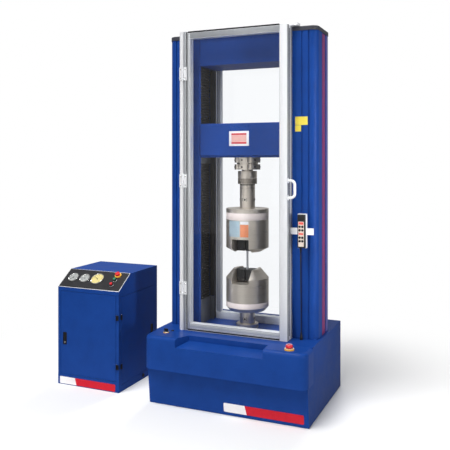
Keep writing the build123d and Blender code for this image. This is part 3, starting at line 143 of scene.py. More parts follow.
def edit(piece, kind="FACE", test=None):
    """Opens a piece in edit mode, with all of it selected or the faces or edges that pass the test."""
    hold(piece)
    bpy.ops.object.mode_set(mode="EDIT")
    bpy.ops.mesh.select_mode(type=kind)
    bpy.ops.mesh.select_all(action="DESELECT" if test else "SELECT")
    if test:
        mesh = bmesh.from_edit_mesh(piece.data)
        for part in mesh.faces if kind == "FACE" else mesh.edges:
            if kind == "FACE":
                part.select_set(bool(test(part.calc_center_median() / MM, part.normal)))
            else:
                ends = [corner.co for corner in part.verts]
                part.select_set(bool(test((ends[0] + ends[1]) / 2 / MM, (ends[1] - ends[0]).normalized())))
        bmesh.update_edit_mesh(piece.data)


def bake_place():
    """Puts the selected objects' places into their meshes."""
    bpy.ops.object.transform_apply(location=True, rotation=True, scale=True)


def newest(name):
    """The primitive that was just added, under its own name."""
    piece = bpy.context.object
    piece.name = piece.data.name = name
    return piece


def modify(piece, kind, **settings):
    """Gives a piece a modifier with its settings, and applies it."""
    hold(piece)
    change = piece.modifiers.new(kind.lower(), kind)
    for key, value in settings.items():
        setattr(change, key, value)
    bpy.ops.object.modifier_apply(modifier=change.name)


def plate(name, size, corner=0.0, edge=0.3):
    """A plate that lies on local z 0 about the origin, its corners rounded and its rim broken."""
    width, height, depth = (length * MM for length in size)
    clear()
    bpy.ops.mesh.primitive_cube_add(size=1, location=(0, 0, depth / 2), scale=(width, height, depth))
    piece = newest(name)
    bake_place()
    if corner:
        edit(piece, "EDGE", lambda middle, run: abs(run.z) > 0.9)
        bpy.ops.mesh.bevel(offset=corner * MM, segments=3, affect="EDGES")
    if edge:
        edit(piece, "EDGE", lambda middle, run: middle.z > size[2] - 0.01 and abs(run.z) < 0.1)
        bpy.ops.mesh.bevel(offset=edge * MM, segments=2, affect="EDGES")
    clear()
    return piece


def spin(steps, angle=2 * math.pi):
    """Spins what is selected about local Z and closes the shell, its faces outwards."""
    bpy.ops.mesh.spin(steps=steps, angle=angle, center=(0, 0, 0), axis=(0, 0, 1))
    bpy.ops.mesh.select_all(action="SELECT")
    bpy.ops.mesh.remove_doubles(threshold=1e-6)
    bpy.ops.mesh.normals_make_consistent(inside=False)
    clear()


def turned(name, outline, steps):
    """A turned shape: a point is drawn out along (radius, height) places and spun about local Z."""
    clear()
    bpy.ops.mesh.primitive_plane_add(size=MM)
    piece = newest(name)
    edit(piece, "VERT")
    bpy.ops.mesh.merge(type="CENTER")
    bpy.ops.transform.translate(value=(outline[0][0] * MM, 0, outline[0][1] * MM))
    for (r0, z0), (r1, z1) in zip(outline, outline[1:]):
        bpy.ops.mesh.extrude_vertices_move(TRANSFORM_OT_translate={"value": ((r1 - r0) * MM, 0, (z1 - z0) * MM)})
    bpy.ops.mesh.select_all(action="SELECT")
    spin(steps)
    return piece


def shift(x, y, z):
    """A move by millimetres."""
    return Matrix.Translation(Vector((x, y, z)) * MM)


def at(turn, x, y, z):
    """The placing of a face's plane at a point of the machine, in mm."""
    return shift(x, y, z) @ turn


def on_panel(x, up, out=0.0):
    """A place on the power unit's sloping panel, measured from its lower left corner."""
    return at(SLOPE, *PANEL_CORNER) @ shift(x, up, PANEL_PLATE + out)


def round_axis(angle, radius, z):
    """A place on a vertical cylinder about the loading axis, facing outwards; 0 degrees is the front."""
    return Matrix.Rotation(math.radians(angle), 4, "Z") @ at(FRONT, 0, -radius, z)


def seat(piece, *places):
    """Copies a piece to each place, each copy with its own mesh, and joins them into one."""
    copies = [piece]
    for _ in places[1:]:
        copy = piece.copy()
        copy.data = piece.data.copy()
        bpy.context.scene.collection.objects.link(copy)
        copies.append(copy)
    clear()
    for copy, place in zip(copies, places):
        copy.matrix_world = place
        copy.select_set(True)
    bpy.context.view_layer.objects.active = piece
    bake_place()
    if len(copies) > 1:
        bpy.ops.object.join()
    return piece


def merge(name, pieces):
    """Joins finished pieces into one."""
    clear()
    for piece in pieces:
        piece.select_set(True)
    bpy.context.view_layer.objects.active = pieces[0]
    if len(pieces) > 1:
        bpy.ops.object.join()
    pieces[0].name = pieces[0].data.name = name
    return pieces[0]


def dress(piece, finish, body="load_frame"):
    """Gives a piece its finish by name, its smooth faces and the body that it rides on."""
    hold(piece)
    bpy.ops.object.shade_smooth_by_angle(angle=math.radians(35))
    piece.data.materials.clear()
    piece.data.materials.append(FINISHES[finish])
    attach(piece, body)
    return piece


def fit(piece, places, finish, body="load_frame"):
    """Copies a piece to its places and dresses it."""
    return dress(seat(piece, *places), finish, body)


def slabs(name, rows, finish, body="load_frame", corner=0.0, edge=0.3):
    """Plates, each with its own size and place, joined into one dressed piece."""
    made = [seat(plate("slab", size, corner, edge), at(*place)) for size, *place in rows]
    return dress(merge(name, made), finish, body)


def screw_head(name, radius, height):
    """A cap screw's head: a short cylinder with a broken edge and a sunk socket."""
    clear()
    bpy.ops.mesh.primitive_cylinder_add(vertices=18, radius=radius * MM, depth=height * MM,
                                        location=(0, 0, height * MM / 2))
    piece = newest(name)
    bake_place()
    edit(piece, "FACE", lambda middle, normal: normal.z > 0.9)
    bpy.ops.mesh.inset(thickness=radius * 0.12 * MM, depth=radius * 0.12 * MM)
    bpy.ops.mesh.inset(thickness=radius * 0.38 * MM)
    bpy.ops.mesh.extrude_region_shrink_fatten(TRANSFORM_OT_shrink_fatten={"value": -height * 0.6 * MM})
    clear()
    return piece


def lettering(name, entries, height):
    """Plain numbers for a dial: each text is made a mesh, set in its place and joined."""
    made = []
    for text, place in entries:
        clear()
        bpy.ops.object.text_add()
        figure = bpy.context.object
        figure.data.body = text
        figure.data.size = height * MM
        figure.data.align_x = figure.data.align_y = "CENTER"
        figure.data.extrude = 0.05 * MM
        figure.data.resolution_u = 2
        bpy.ops.object.convert(target="MESH")
        made.append(seat(figure, place))
    return merge(name, made)


# Finishes
def blank(name):
    """A new material, its node tree and its shader."""
    material = bpy.data.materials.new(name)
    material.use_nodes = True
    return material, material.node_tree, material.node_tree.nodes["Principled BSDF"]


def surface(name, colour, shade, rough, cell, relief, metallic=0.0, stretch=(1, 1, 1), shine=0.5):
    """A finish whose colour and gloss drift over patches and whose relief has cells, both in mm."""
    material, tree, shader = blank(name)
    place = add(tree, "TexCoord").outputs["Object"]
    drawn = add(tree, "Mapping", {"Vector": place, "Scale": stretch})
    drift = add(tree, "TexNoise", {"Vector": drawn, "Scale": 1000 / PATCH, "Detail": 4.0, "Roughness": 0.6})
    grain = add(tree, "TexNoise", {"Vector": drawn, "Scale": 1000 / cell, "Detail": 2.0})
    part = add(tree, "Math", {0: grain, 1: 0.3}, operation="MULTIPLY")
    mixed = add(tree, "Math", {0: drift, 1: 0.7, 2: part}, operation="MULTIPLY_ADD")
    ramp = add(tree, "ValToRGB", {"Fac": mixed})
    dark, light = ramp.color_ramp.elements
    dark.position, light.position = 0.36, 0.64
    dark.color, light.color = linear(shade), linear(colour)
    gloss = add(tree, "MapRange", {"Value": mixed, "From Min": 0.35, "From Max": 0.65, "To Min": rough[0],
                                   "To Max": rough[1]})
    bump = add(tree, "Bump", {"Height": grain, "Strength": 1.0, "Distance": relief * MM})
    feed(shader, {"Base Color": ramp, "Roughness": gloss, "Normal": bump, "Metallic": metallic,
                  "Specular IOR Level": shine})
    return material


def clear_sheet(name):
    """Cast acrylic: clear with faint smears, and it lets the lamps through."""
    material, tree, shader = blank(name)
    place = add(tree, "TexCoord").outputs["Object"]
    smears = add(tree, "TexNoise", {"Vector": place, "Scale": 9.0, "Detail": 3.0})
    gloss = add(tree, "MapRange", {"Value": smears, "From Min": 0.4, "From Max": 0.7, "To Min": 0.0, "To Max": 0.05})
    # Acrylic is 1.49; less of the studio is mirrored in the photographed panes
    feed(shader, {"Base Color": linear("#fdfeff"), "Roughness": gloss, "Transmission Weight": 1.0, "IOR": 1.28})
    rays = add(tree, "LightPath").outputs
    passed = add(tree, "Math", {0: rays["Is Shadow Ray"], 1: rays["Is Diffuse Ray"]}, operation="MAXIMUM")
    through = add(tree, "BsdfTransparent", {"Color": linear("#f8fafc")})
    feed(tree.nodes["Material Output"], {"Surface": add(tree, "MixShader", {0: passed, 1: shader, 2: through})})
    return material


FINISHES = {}
# The colour drifts over patches of this size in mm
PATCH = 90.0
# Each finish: colour, darker drift, gloss range, size of the relief's cells in mm, its height in mm, then options
PAINT_SHINE = {"shine": 0.08}
DRAWN = {"metallic": 0.35, "stretch": (1, 1, 0.03)}
FINISH_TABLE = {
    # Powder coat on sheet steel: fine orange peel, an even satin gloss
    "blue powder coat": ("paint", "shade", (0.38, 0.48), 2.2, 0.03, PAINT_SHINE),
    # The same coat on the power unit's doors and the frame inside, sprayed a little drier
    "dry blue powder coat": ("paint", "shade", (0.42, 0.52), 2.6, 0.04, PAINT_SHINE),
    # Vacuum-formed ABS painted to match, smoother and glossier than the sheets
    "blue painted ABS": ("paint", "shade", (0.3, 0.38), 3.5, 0.02, PAINT_SHINE),
    "grey powder coat": ("#5c5e63", "#525459", (0.45, 0.55), 2.2, 0.04),
    # Grey plastic laid as thin lines of painted shade in the profiles' grooves, and as their dark corner joints. The
    # two anodised copies after it are painted shade: darker copies of the satin anodised aluminium for profile faces
    # that the light leaves dim.
    "grey slot cover": ("#7d8084", "#72757a", (0.4, 0.5), 2.0, 0.02),
    "shaded anodised aluminium": ("#979a9e", "#8c8f93", (0.34, 0.46), 1.6, 0.01, DRAWN),
    "dull anodised aluminium": ("#b2b5b8", "#a7aaad", (0.34, 0.46), 1.6, 0.01, DRAWN),
    # A paler copy of the same aluminium, painted light on the door's and strike post's lit faces; the specimen takes
    # it as its own pale bar
    "pale anodised aluminium": ("#dcdde0", "#d1d2d5", (0.45, 0.55), 1.6, 0.01,
                                {"metallic": 0.1, "shine": 0.2, "stretch": (1, 1, 0.03)}),
    # Sprayed sheet and castings: the white bracket, the white faces on the rear guard's rails that are a painted
    # light over their shade, the tank's grey, the motor's and panel's enamel
    "white powder coat": ("#f4f4f6", "#e8e8eb", (0.35, 0.45), 2.2, 0.03),
    "tank grey paint": ("#5d6165", "#505458", (0.4, 0.55), 3.0, 0.05),
    "black stoved enamel": ("#26262a", "#1f1f22", (0.4, 0.5), 1.8, 0.03, {"shine": 0.3}),
    # Turned and ground tool steel: fine rings round the loading axis, a warm grey, brighter where it is ground
    "turned steel": ("#dad0c3", "#c9bfb3", (0.26, 0.36), 1.2, 0.02, {"metallic": 0.74, "stretch": (0.04, 0.04, 1)}),
    "bright ground steel": ("#dcdcda", "#cbcbc9", (0.16, 0.24), 1.0, 0.01,
                            {"metallic": 1.0, "stretch": (0.1, 0.1, 1)}),
    # Turned steel that is left rough from the tool, between the polished bands
    "rough turned steel": ("#9b9287", "#8a8177", (0.35, 0.45), 1.2, 0.03,
                           {"metallic": 0.68, "stretch": (0.04, 0.04, 1)}),
    # Black oxide on hardened jaws: nearly black, with dull oily patches
    "black oxide steel": ("#2e2d2e", "#222122", (0.35, 0.5), 1.5, 0.03, {"metallic": 0.5}),
    # Satin anodised extrusion, drawn along its length
    "satin anodised aluminium": ("#eeeff1", "#e2e3e6", (0.32, 0.44), 1.6, 0.01, DRAWN),
    # The die-cast pulley, a little coarse
    "cast aluminium": ("#a9abad", "#96989b", (0.4, 0.6), 2.0, 0.12, {"metallic": 0.9}),
    # Polyurethane-coated fabric of the bellows, dull with dust in the folds
    "coated fabric": ("#3d3a39", "#2b2928", (0.55, 0.75), 0.9, 0.08, {"shine": 0.3}),
    # Moulded rubber and plastics: matt rubber, grained caps, and smooth glossy buttons and handles
    "belt rubber": ("#232323", "#1b1b1b", (0.6, 0.8), 1.0, 0.05),
    "dark cap plastic": ("#3c3d46", "#32333b", (0.4, 0.5), 1.4, 0.05, {"shine": 0.3}),
    "black plastic": ("#161618", "#101012", (0.32, 0.45), 0.9, 0.03, {"shine": 0.3}),
    "white plastic": ("#f4f4f4", "#eaeaec", (0.25, 0.35), 1.5, 0.01),
    "red plastic": ("#e0323a", "#cc2830", (0.2, 0.3), 1.5, 0.01),
    "yellow plastic": ("#f0b53a", "#e2a52c", (0.25, 0.35), 1.5, 0.01),
    "green plastic": ("#3e8f6a", "#317b59", (0.2, 0.3), 1.5, 0.01),
    # Printed vinyl films and cards, each flat and dull
    "yellow film": ("#ecd84e", "#dfca42", (0.4, 0.5), 6.0, 0.01),
    "white film": ("#fbf8f7", "#f1edee", (0.3, 0.4), 6.0, 0.01),
    "band film": ("#fff1ea", "#f7e6df", (0.5, 0.6), 6.0, 0.01, {"shine": 0.1}),
    "red film": ("#d8182f", "#c8142a", (0.3, 0.4), 6.0, 0.01, {"shine": 0.3}),
    "pale red film": ("#f0b9b0", "#e4a79e", (0.35, 0.45), 6.0, 0.01),
    "pale blue film": ("#b9ccd4", "#a9bdc7", (0.4, 0.5), 6.0, 0.01),
    "orange film": ("#ee9468", "#e2875b", (0.4, 0.5), 6.0, 0.01),
    # A darker copy of the maroon film, painted shade along the edge of the columns' side recess
    "dark maroon film": ("#6a1c40", "#5d1837", (0.35, 0.45), 8.0, 0.01, {"shine": 0.2}),
    "maroon film": ("#86306e", "#782962", (0.35, 0.45), 8.0, 0.01, {"shine": 0.2}),
    "purple film": ("#5858a2", "#4e4e94", (0.35, 0.45), 8.0, 0.01, {"shine": 0.2}),
    "dial card": ("#b3b2ad", "#a6a59f", (0.6, 0.7), 4.0, 0.01),
    "yellow dial card": ("#ecd890", "#dfca7c", (0.6, 0.7), 4.0, 0.01),
    # The pendant's moulded keypad and its red keys
    "beige keypad": ("#e0d2c6", "#d4c5b8", (0.45, 0.55), 2.0, 0.02),
    "keypad red": ("#ea564c", "#dc4a40", (0.4, 0.5), 2.0, 0.02),
}


# The slots whose finish isn't called what the slot is
NODE_FINISH = {
    "blue_paint": "blue powder coat", "dark_blue_paint": "dry blue powder coat",
    "blue_moulding": "blue painted ABS", "ground_steel": "turned steel", "bright_steel": STEEL,
    "dark_steel": DARK, "anodised_profile": "satin anodised aluminium", "white_paint": "white powder coat",
    "clear_pane": "clear acrylic", "black_bellows": "coated fabric", "grey_paint": "grey powder coat",
    "dark_cap": "dark cap plastic", "motor_black": "black stoved enamel", "black_panel": "black stoved enamel",
    "tank_paint": "tank grey paint",
}


class MachineSettings(bpy.types.PropertyGroup):
    """Sizes and colours that a user of the machine would change."""
    paint_colour: bpy.props.StringProperty(name="Paint", description="sRGB hex of the blue paint", default="#18428f")
    paint_shade: bpy.props.StringProperty(name="Paint shade", description="sRGB hex of its darker drift",
                                          default="#163d85")
    upper_pitch: bpy.props.FloatProperty(name="Upper pleat", description="Pleat of the upper bellows",
                                         default=0.018, min=0.008, unit="LENGTH")
    lower_pitch: bpy.props.FloatProperty(name="Lower pleat", description="Pleat of the lower bellows",
                                         default=0.0155, min=0.008, unit="LENGTH")
    pleat_depth: bpy.props.FloatProperty(name="Pleat depth", description="How far a pleat folds in",
                                         default=0.008, min=0.003, unit="LENGTH")
    lamp_power: bpy.props.FloatProperty(name="Lamps", description="Share of the studio lamps' power", default=1.0,
                                        min=0.0, subtype="FACTOR")


class MACHINE_OT_finishes(bpy.types.Operator):
    """Makes the finishes and gives one to each part of the frame"""
    bl_idname = "machine.finishes"
    bl_label = "Finishes"

    def execute(self, context):
        settings = context.scene.machine
        paint = {"paint": settings.paint_colour, "shade": settings.paint_shade}
        for name, (colour, shade, rough, cell, relief, *options) in FINISH_TABLE.items():
            FINISHES[name] = surface(name.replace(" ", "_").lower(), paint.get(colour, colour),
                                     paint.get(shade, shade), rough, cell, relief, **dict(*options))
        FINISHES["clear acrylic"] = clear_sheet("clear_acrylic")
        slots = {part["node"]: part["material_slot"] for part in frame["record"]["subparts"]}
        for name, node in frame["nodes"].items():
            # The specimen is a pale pulled bar, duller than the machine's own ground steel
            finish = "pale anodised aluminium" if name == "test_specimen" else NODE_FINISH.get(
                slots[name], slots[name].replace("_", " "))
            node.data.materials.clear()
            node.data.materials.append(FINISHES[finish])
            node.data.polygons.foreach_set("material_index", [0] * len(node.data.polygons))
        return {"FINISHED"}


class MACHINE_OT_bellows(bpy.types.Operator):
    """Folds the bellows over the screws, below and above the crosshead"""
    bl_idname = "machine.bellows"
    bl_label = "Bellows"

    def execute(self, context):
        settings = context.scene.machine
        low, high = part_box("lower_bellows"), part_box("upper_bellows")
        for name, node, (lo, hi), pitch, ends in (
                ("lower_pleats", "lower_bellows", low, settings.lower_pitch, (low[0].z, low[1].z)),
                ("upper_pleats", "upper_bellows", high, settings.upper_pitch, (high[1].z, high[0].z))):
            folds = round((hi.z - lo.z) / pitch)
            step = (hi.z - lo.z) / folds
            width, depth = hi.x - BELLOWS_INNER, hi.y - lo.y
            clear()
            bpy.ops.mesh.primitive_plane_add(size=1)
            pleats = newest(name)
            pleats.scale = (width, depth, 1)
            bake_place()
            edit(pleats, "VERT")
            bpy.ops.mesh.bevel(offset=5 * MM, segments=2, affect="VERTICES")
            bpy.ops.mesh.delete(type="ONLY_FACE")
            fold = settings.pleat_depth
            inwards = ((width - 2 * fold) / width, (depth - 2 * fold) / depth, 1)
            outwards = (1 / inwards[0], 1 / inwards[1], 1)
            bpy.ops.mesh.select_all(action="SELECT")
            for rise, scale in ((0.1, None), (0.35, inwards), (0.1, None), (0.45, outwards)):
                bpy.ops.mesh.extrude_region_move(TRANSFORM_OT_translate={"value": (0, 0, rise * step)})
                if scale:
                    bpy.ops.transform.resize(value=scale)
            modify(pleats, "ARRAY", count=folds, use_relative_offset=False, use_constant_offset=True,
                   constant_offset_displace=(0, 0, step), use_merge_vertices=True)
            edit(pleats, "VERT")
            bpy.ops.mesh.remove_doubles(threshold=1e-5)
            bpy.ops.mesh.normals_make_consistent(inside=False)
            modify(pleats, "SOLIDIFY", thickness=0.8 * MM)
            middle = (hi.x + BELLOWS_INNER) / 2
            seat(pleats, *[Matrix.Translation((side * middle, 0, lo.z)) for side in (-1, 1)])
            hold(pleats)
            bpy.ops.object.shade_smooth_by_angle(angle=math.radians(20))
            pleats.data.materials.clear()
            pleats.data.materials.append(FINISHES["coated fabric"])
            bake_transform(pleats)
            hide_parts(node)
        fit(screw_head("clamp_screw", 5, 2.4), [at(FRONT, side * 318, -97, 2030) for side in (-1, 1)], STEEL)
        return {"FINISHED"}


class MACHINE_OT_guard_trim(bpy.types.Operator):
    """Adds the slot covers, seals, the painted light and shade on the profile faces, glazing beads and screws of the
    guards
    """
    bl_idname = "machine.guard_trim"
    bl_label = "Guard trim"

    def execute(self, context):
        self.covers_and_seals()
        self.profile_faces()
        self.rear_guard()
        self.screws_and_feet()
        return {"FINISHED"}

    def covers_and_seals(self):
        """What closes the slots and gaps of the door and of the post that it strikes."""
        # The left cover lies 2 mm below the face; those on the right are flanged and end clear of the handle's feet
        slabs("door_slot_covers", [((7.6, DOOR_LENGTH - 6, 2), FRONT, -307.5, -223.6, DOOR_MIDDLE)] + [
            ((13, stop - start, 0.9), RIGHT, DOOR_HALF, HANDLE_LINE, (start + stop) / 2)
            for start, stop in ((DOOR_LOW + 3, 1228), (1258, 1326), (1356, DOOR_HIGH - 3))],
            BLACK, "front_door")
        slabs("strike_slot_cover", [((13, POST_LENGTH - 6, 0.9), RIGHT, DOOR_HALF, -148.65, POST_MIDDLE)], BLACK)
        # A rubber strip on the strike post stops the draught behind the closed door
        slabs("strike_rubber", [((36, DOOR_LENGTH - 40, 9), FRONT, 311.5, -169, DOOR_MIDDLE)], "belt rubber",
              edge=1.5)
        # Brush seals along the top of the upper rail and under the lower one
        slabs("door_edge_seals", [((RAILS + 16, 9, 0.8), FRONT, -8, DOOR_FRONT, z)
                                  for z in (DOOR_HIGH - 4.6, DOOR_LOW + 7)], BLACK, "front_door")

    def profile_faces(self):
        """Painted light and shade on the profiles' faces: darker copies of the anodised aluminium where the light
        leaves them dim, a paler copy on the faces that it lights, and thin lines of painted shade along the grooves.
        """
        height = DOOR_LENGTH - 2
        # The darkest copy of the aluminium is painted shade on the left stile's outer part and on the upper rail
        slabs("door_painted_deep_shade_faces", [((13, height, 0.4), FRONT, -321.5, DOOR_FRONT, DOOR_MIDDLE),
                                    ((RAILS - 2, 33, 0.4), FRONT, 0, DOOR_FRONT, DOOR_HIGH - 27)],
              "shaded anodised aluminium", "front_door", edge=0.2)
        # A lighter copy is painted half shade on the left stile's inner part and on the lower rail
        slabs("door_painted_half_shade_faces", [((15, DOOR_LENGTH - 22, 0.4), FRONT, -294, DOOR_FRONT, DOOR_MIDDLE),
                                  ((RAILS - 2, 20, 0.4), FRONT, 0, DOOR_FRONT, DOOR_LOW + 29)],
              "dull anodised aluminium", "front_door", edge=0.2)
        # A paler copy is painted light on the right stile's front and side faces
        slabs("door_painted_lit_faces", [((40, height, 0.4), FRONT, 308.5, DOOR_FRONT, DOOR_MIDDLE)] + [
            ((width, height, 0.4), RIGHT, DOOR_HALF, y, DOOR_MIDDLE) for width, y in ((10, -217.5), (9, -193.5))],
            "pale anodised aluminium", "front_door", edge=0.2)
        # The strike post's side faces take the same paler copy as painted light
        slabs("post_painted_lit_faces", [((width, POST_LENGTH - 2, 0.4), RIGHT, DOOR_HALF, y, POST_MIDDLE)
                                  for width, y in ((9, -161), (7, -138))],
              "pale anodised aluminium", edge=0.2)
        # Thin grey lines are painted shade in the door profiles' grooves; the short ones at the corners are their
        # dark joints
        slabs("door_groove_shade_and_joint_lines",
              [((1.5, DOOR_LENGTH - 8, 0.3), FRONT, x, DOOR_FRONT, DOOR_MIDDLE) for x in (-313.5, -302.8, 286.8)]
              + [((3, DOOR_LENGTH - 8, 0.3), RIGHT, DOOR_HALF, y, DOOR_MIDDLE) for y in (-225.5, -186)]
              + [((RAILS - 2, 3, 0.3), FRONT, 0, DOOR_FRONT, DOOR_LOW + rise) for rise in (15, 42)]
              + [((0.9, PROFILE, 0.5), FRONT, x, DOOR_FRONT, z) for x in (-285, 285)
                 for z in (DOOR_LOW + PROFILE / 2, DOOR_HIGH - PROFILE / 2)],
              "grey slot cover", "front_door", edge=0)
        # A dark line is painted shade in the strike post's side groove
        slabs("post_groove_shade_lines", [((5, POST_LENGTH - 8, 0.3), RIGHT, DOOR_HALF, -131.2, POST_MIDDLE)],
              "dark cap plastic", edge=0)

    def rear_guard(self):
        """Painted groove shade lines, glazing beads and painted light faces on the rails of the rear guard, and what
        closes the columns beside it.
        """
        faces = ((FRONT, GUARD_FRONT), (REAR, GUARD_REAR))
        # Thin grey lines on the rear guard: painted shade along its profile grooves, and its joints
        slabs("rear_guard_groove_shade_lines",
              [((1.6, 1783, 0.3), turn, x, y, GUARD_MIDDLE) for turn, y in faces for x in (-308, 308)]
              + [((570, 1.6, 0.3), turn, 0, y, z) for turn, y in faces for z in (443.5, 2189.5)],
              "grey slot cover", edge=0)
        slabs("rear_guard_beads", [((38, 1716, 16), FRONT, side * 250.5, 144.5, GUARD_MIDDLE) for side in (-1, 1)],
              "satin anodised aluminium", edge=2)
        # Thin grey lines on the glazing beads are painted shade in their grooves
        slabs("rear_bead_groove_shade_lines", [((2.5, 1716, 0.4), FRONT, side * 250.5 + off, 128.5, GUARD_MIDDLE)
                                  for side in (-1, 1) for off in (-8, 6)], "grey slot cover", edge=0)
        # White faces on the rear guard's rails are painted light that lifts the shade falling on them
        slabs("rear_rail_painted_light_faces", [((536, 40, 0.6), FRONT, 0, GUARD_FRONT, z) for z in (444, 2189)],
              "white powder coat", edge=0.2)
        # Dark strips close the columns behind the bellows, and brush seals cover the columns' rear lips
        for name, height, z, finish, slot in (("bellows_wings", 1466, 1306, "coated fabric", None),
                                              ("skirt_wings", 148, 497, "grey powder coat", "grey_paint")):
            slabs(name, [((28, height, 1), FRONT, side * 285.5, 99, z) for side in (-1, 1)], finish,
                  edge=0.2)
        slabs("lip_seals", [((26, 1610, 0.6), turn, x, 111, 1235) for turn, x in ((RIGHT, -270), (LEFT, 270))],
              "coated fabric", edge=0.2)

    def screws_and_feet(self):
        """The door's corner and hinge screws, and the rims under its handle's feet."""
        ends = (DOOR_LOW + 22, DOOR_HIGH - 22)
        corners = [at(LEFT, -DOOR_HALF, -192, z) for z in ends] + [at(RIGHT, DOOR_HALF, -214, z) for z in ends]
        fit(screw_head("door_corner_screws", 5.5, 2.6), corners, STEEL, "front_door")
        for name, x, body in (("door_hinge_screws", -316.5, "front_door"),
                              ("post_hinge_screws", -347.5, "load_frame")):
            places = [at(FRONT, x, -231, base + rise) for base in HINGE_BASES for rise in (14, 66)]
            fit(screw_head(name, 3.6, 1.4), places, STEEL, body)
        rim = [(8.4, 0), (13.2, 0), (13.2, 1.4), (12.4, 2.2), (8.4, 2.2), (8.4, 0)]
        fit(turned("handle_feet_rims", rim, 32), [at(RIGHT, DOOR_HALF, HANDLE_LINE, z) for z in (1243, 1341)],
            "white plastic", "front_door")


def curved_film(name, angles, levels, thick=0.25):
    """A film wrapped on the upper grip about the loading axis; angles run from the front towards +X."""
    clear()
    bpy.ops.mesh.primitive_plane_add(size=1)
    piece = newest(name)
    piece.rotation_euler = (math.pi / 2, 0, 0)
    piece.scale = (thick * MM, (levels[1] - levels[0]) * MM, 1)
    piece.location = Vector((GRIP_RADIUS + 0.02 + thick / 2, 0, sum(levels) / 2)) * MM
    bake_place()
    seat(piece, Matrix.Rotation(math.radians(angles[1] - 90), 4, "Z"))
    edit(piece)
    spin(16, math.radians(angles[1] - angles[0]))
    return piece


class MACHINE_OT_column_trim(bpy.types.Operator):
    """Lays the coloured strips, the painted shade strips and shadow lines on the columns, their labels and cap screws
    """
    bl_idname = "machine.column_trim"
    bl_label = "Column trim"

    def execute(self, context):
        height, middle = COLUMN_TOP - TABLE_TOP - 4, (COLUMN_TOP + TABLE_TOP) / 2
        sides = ((RIGHT, 1), (LEFT, -1))
        # The maroon film lies in the side recess, 1.9 mm below the column's face
        recess = COLUMN_SIDE - 1.9
        # The darker maroon strip beside the maroon is painted shade at the recess's edge
        for name, width, y, x, finish in (("maroon_strips", 62, 23.5, recess, "maroon film"),
                                          ("recess_shade_strips", 7, -11.8, recess, "dark maroon film"),
                                          ("purple_strips", 46, 88, COLUMN_SIDE, "purple film")):
            slabs(name, [((width, height, 0.5), turn, side * x, y, middle) for turn, side in sides], finish, edge=0.2)
        # Thin dark lines on the columns' sides are painted shadow of the side groove and of the recess's edge
        slabs("column_shadow_lines", [((2.4, height, 0.3), turn, side * COLUMN_SIDE, y, middle)
                               for turn, side in sides for y in (-80, -19)], "dark cap plastic", edge=0)
        slabs("column_labels", [((75, 49, 0.4), FRONT, 385, FRAME_FRONT, 1687),
                                ((36, 36, 0.4), FRONT, 365, FRAME_FRONT, 1643)], "yellow film", corner=3, edge=0.1)
        places = [at(TOP, side * x, y, FRAME_TOP) for side in (-1, 1) for x in (300, 440) for y in (-60, 90)]
        fit(screw_head("cap_screws", 6, 2.5), places, STEEL)
        return {"FINISHED"}


class MACHINE_OT_grip_trim(bpy.types.Operator):
    """Adds the bands, films, screws and serrated jaw faces of the load string"""
    bl_idname = "machine.grip_trim"
    bl_label = "Grip trim"

    def execute(self, context):
        for name, low, high, body in (("upper_band", 1093.5, 1135.5, "crosshead"),
                                      ("lower_band", 557.5, 589.5, "load_frame")):
            outer, inner, soft = GRIP_RADIUS, GRIP_RADIUS - 1, GRIP_RADIUS - 0.3
            band = [(inner, low), (soft, low), (outer, low + 1), (outer, high - 1), (soft, high), (inner, high),
                    (inner, low)]
            dress(turned(name, band, 96), "band film", body)
        for name, angles, levels, finish in (("blue_label", (-35, 0), (993, 1090), "pale blue film"),
                                             ("orange_label", (2, 24), (993, 1068), "orange film"),
                                             ("label_margin", (2, 24), (1070, 1088), "white film")):
            dress(curved_film(name, angles, levels), finish, "crosshead")
        places = [round_axis(angle, 79.6, z) for angle in range(-4, 300, 60) for z in (1416, 1459)]
        fit(screw_head("cell_screws", 5.6, 1.2), places, DARK, "crosshead")
        plug = [(0, 0), (4.4, 0), (4.4, 1.4), (3.2, 1.6), (0, 1.0)]
        fit(turned("cell_side_plugs", plug, 20), [round_axis(angle, 66, 1437) for angle in (-30, 30)], DARK,
            "crosshead")
        knurl = [(58.4, 1313), (59.1, 1313), (59.4, 1313.4), (59.4, 1344.6), (59.1, 1345), (58.4, 1345), (58.4, 1313)]
        dress(turned("adaptor_knurl_band", knurl, 64), "rough turned steel", "crosshead")
        joint = [(46.6, 1303), (47.6, 1303), (47.6, 1309), (46.6, 1309), (46.6, 1303)]
        dress(turned("stem_joint_ring", joint, 48), DARK, "crosshead")
        self.jaw_teeth()
        ring = [(12.6, 0), (14.6, 0), (14.6, 0.9), (12.6, 0.9), (12.6, 0)]
        for level, z, body in (("upper", 1214, "crosshead"), ("lower", 479, "load_frame")):
            pins = [round_axis(angle, STEM_RADIUS, z) for angle in (0, 90, 180, 270)]
            fit(turned(f"{level}_pin_rings", ring, 32), pins, DARK, body)
            # Dark discs on the pin ends are painted shade that stands for the pin holes
            fit(turned(f"{level}_pin_hole_shades", [(0, 0), (6, 0), (6, 1.2), (0, 1.2)], 24), pins, DARK, body)
        return {"FINISHED"}

    def jaw_teeth(self):
        """Fine cross ribs on the gripping faces, beside the groove that holds the specimen."""
        rows, pitch = 28, 2.4
        for level, low in (("upper", 901), ("lower", 715)):
            for hand, turn, x in (("left", RIGHT, -4), ("right", LEFT, 4)):
                spots = [at(turn, x, y, low + pitch * row) for row in range(rows) for y in (-24.5, 24.5)]
                fit(plate(f"{level}_{hand}_teeth", (24, 1.3, 0.5), 0, 0.25), spots, DARK, f"{level}_{hand}_wedge")


